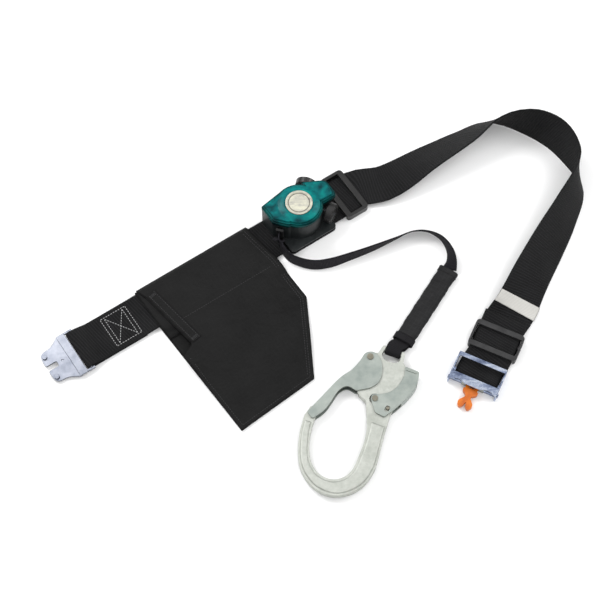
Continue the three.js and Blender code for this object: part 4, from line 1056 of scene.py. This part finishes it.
# ---------------------------------------------------------------- shock absorber
def tube_shell(name, where, stations, wall, material, body, half=12, wave=None):
    """A flattened tube of cloth or webbing along +Y of a layout frame, open at both ends, with a real wall.

    Each station is (y, width, thick, z), in mm.
    """

    def section(width, thick, shrink):
        w, t = width / 2 - shrink, thick / 2 - shrink
        out = []
        flat = max(0.5, w - t)
        for i in range(half + 1):
            out.append((-flat + 2 * flat * i / half, t))
        for i in range(1, half):
            a = math.pi / 2 - math.pi * i / half
            out.append((flat + t * math.cos(a), t * math.sin(a)))
        for i in range(half + 1):
            out.append((flat - 2 * flat * i / half, -t))
        for i in range(1, half):
            a = -math.pi / 2 - math.pi * i / half
            out.append((-flat + t * math.cos(a), t * math.sin(a)))
        return out

    n = 4 * half
    verts, faces, uvs = [], [], []
    for layer in (0, 1):
        for y, width, thick, z in stations:
            for i, (x, h) in enumerate(section(width, thick, wall * layer)):
                dx, dz = wave(i / n, y) if wave else (0.0, 0.0)
                x += dx * (1 if x > 0 else -1)
                lift = h + dz * (1 if h > 0 else -1)
                verts.append(row(place(where, x, y, z + lift)))
    count = len(stations)
    around = []
    ring = section(stations[0][1], stations[0][2], 0)
    total = 0.0
    for i in range(n + 1):
        around.append(total)
        a, b = ring[i % n], ring[(i + 1) % n]
        total += math.hypot(b[0] - a[0], b[1] - a[1])

    def quad(ids, corners):
        faces.append(ids)
        uvs.append(corners)

    for layer in (0, 1):
        for j in range(count - 1):
            for i in range(n):
                q = (i + 1) % n
                base = layer * count * n
                a, b = base + j * n + i, base + j * n + q
                c, d = base + (j + 1) * n + q, base + (j + 1) * n + i
                y0, y1 = stations[j][0], stations[j + 1][0]
                corners = ((y0, around[i]), (y0, around[i + 1]), (y1, around[i + 1]), (y1, around[i]))
                if layer:
                    quad((d, c, b, a), corners[::-1])
                else:
                    quad((a, b, c, d), corners)
    for j in (0, count - 1):
        for i in range(n):
            q = (i + 1) % n
            a, b = j * n + i, j * n + q
            c, d = (count + j) * n + q, (count + j) * n + i
            y0 = stations[j][0]
            v0, v1 = around[i], around[i + 1]
            quad((a, b, c, d), ((y0, v0), (y0, v1), (y0 + 1, v1), (y0 + 1, v0)))
    obj = mesh_object(name, verts, faces, material, uvs)
    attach(obj, body)
    return obj


def sleeve_wave(i, y):
    x_part = 0.22 * math.sin(y * 0.31 + 2 * math.pi * i) + 0.12 * math.sin(y * 0.83 + 1.7)
    z_part = 0.22 * math.sin(y * 0.21 + i * 9) + 0.14 * math.sin(y * 0.63 + i * 21 + 0.6)
    return x_part, z_part


def absorber_sleeve(m):
    stations = []
    for k in range(50):
        y = SLEEVE_LENGTH * k / 49
        swell = math.sin(math.pi * k / 49) ** 0.6
        flare = 0.7 * (1 - smoothstep(y, 0, 9)) - 0.5 * (1 - smoothstep(SLEEVE_LENGTH - y, 0, 16))
        stations.append((y, 22.3 + 0.4 * swell + flare, 8.0 + 0.7 * swell, 4.9))
    sleeve = tube_shell("sleeve", SLEEVE, stations, 0.8, m["sleeve"], "belt", 12, sleeve_wave)
    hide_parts("absorber_sleeve")
    hem = [(y, 24.0, 9.3, 4.9) for y in (0.6, 0.9, 3.6, 6.2, 6.5)]
    cuff = tube_shell("sleeve_cuff", SLEEVE, hem, 0.6, m["sleeve"], "belt", 12, sleeve_wave)


def absorber_pack(m):
    """The tear webbing, folded in three layers inside the sleeve."""
    layers = []
    for k, z in enumerate((3.2, 4.9, 6.6)):
        span = [place(SLEEVE, 0, 8 + 5 * i, z) for i in range(17)]
        layers += span[::-1] if k % 2 else span
        if k < 2:
            layers.append(place(SLEEVE, 0, 7.2 if k % 2 else 89.2, z + 0.85))
    folds = rings_along(layers, [turn(SLEEVE, 1, 0)] * len(layers))
    pack = strip_mesh("folded_absorber_webbing", folds, 17.6, 1.3, m["strap"], 8)
    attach(pack, "belt")
    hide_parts("absorber_pack")


def loop_band(m):
    keeper = [(SLEEVE_LENGTH + 0.7 + 7.8 * i / 6, 24.8, 10.6, 5.9) for i in range(7)]
    band = tube_shell("loop_band", SLEEVE, keeper, 0.9, m["loop"], "belt", 12)
    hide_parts("loop_keeper")


def wound_strap(m):
    """The strap on the drum: a spiral of webbing."""
    centres = []
    turns, steps = 6.2, 40
    total = int(turns * steps)
    for i in range(total + 1):
        a = 2 * math.pi * i / steps
        r = 10.4 + 9.6 * i / total
        centres.append(place(REEL, r * math.cos(a), 2.5 + r * math.sin(a), 19.6))
    rings = rings_along(centres, [Vector((0, 0, 1))] * len(centres))
    coil = strip_mesh("strap_on_drum", rings, 16.4, 1.3, m["strap"], 6)
    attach(coil, "drum")
    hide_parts("wound_strap")


# ---------------------------------------------------------------- the hard parts keep their CAD shapes
# Each look, with the nodes that wear it
FINISHES = {
    "frame": ["adjuster_slide"],
    "knob": ["reel_keeper", "lock_knob_front", "lock_knob_rear"],
    "bright": ["tongue_plate", "tongue_stud_upper", "tongue_stud_lower"],
    "black": ["belt_plate", "strap_exit_guide"],
    "case": ["reel_base", "reel_drum"],
    "teal": ["reel_cover"],
    "label": ["reel_label"],
    "spring": ["reel_shaft", "power_spring", "knob_pin_front", "knob_pin_rear"],
    "gate": ["ratchet_wheel", "lock_pawl", "latch_left", "latch_right", "hook_gate", "safety_lever"],
    "buckle": ["buckle_frame", "buckle_bar", "lever_pin"],
    "orange": ["release_key"],
    "zinc": ["hook_body"],
    "rivet": ["gate_pivot", "lever_pivot", "lever_stop_pin"],
}
FINISHES["bright"] += ["case_screw_%d" % i for i in range(1, 5)]
FINISHES["spring"] += ["key_spring", "gate_spring", "lever_spring"]


def hard_parts(m):
    for look, nodes in FINISHES.items():
        for obj in (NODES[name] for name in nodes):
            for slot in obj.material_slots:
                slot.material = m[look]
            if not obj.material_slots:
                obj.data.materials.append(m[look])


camera()
MATERIALS = looks()
lanyard_strap(MATERIALS)
waist_belt(MATERIALS)
belt_stitching(MATERIALS)
marker_band(MATERIALS)
hook_loop(MATERIALS)
pouch_front(MATERIALS)
pouch_back(MATERIALS)
pouch_hem(MATERIALS)
pouch_seams(MATERIALS)
absorber_sleeve(MATERIALS)
absorber_pack(MATERIALS)
loop_band(MATERIALS)
wound_strap(MATERIALS)
hard_parts(MATERIALS)
studio()
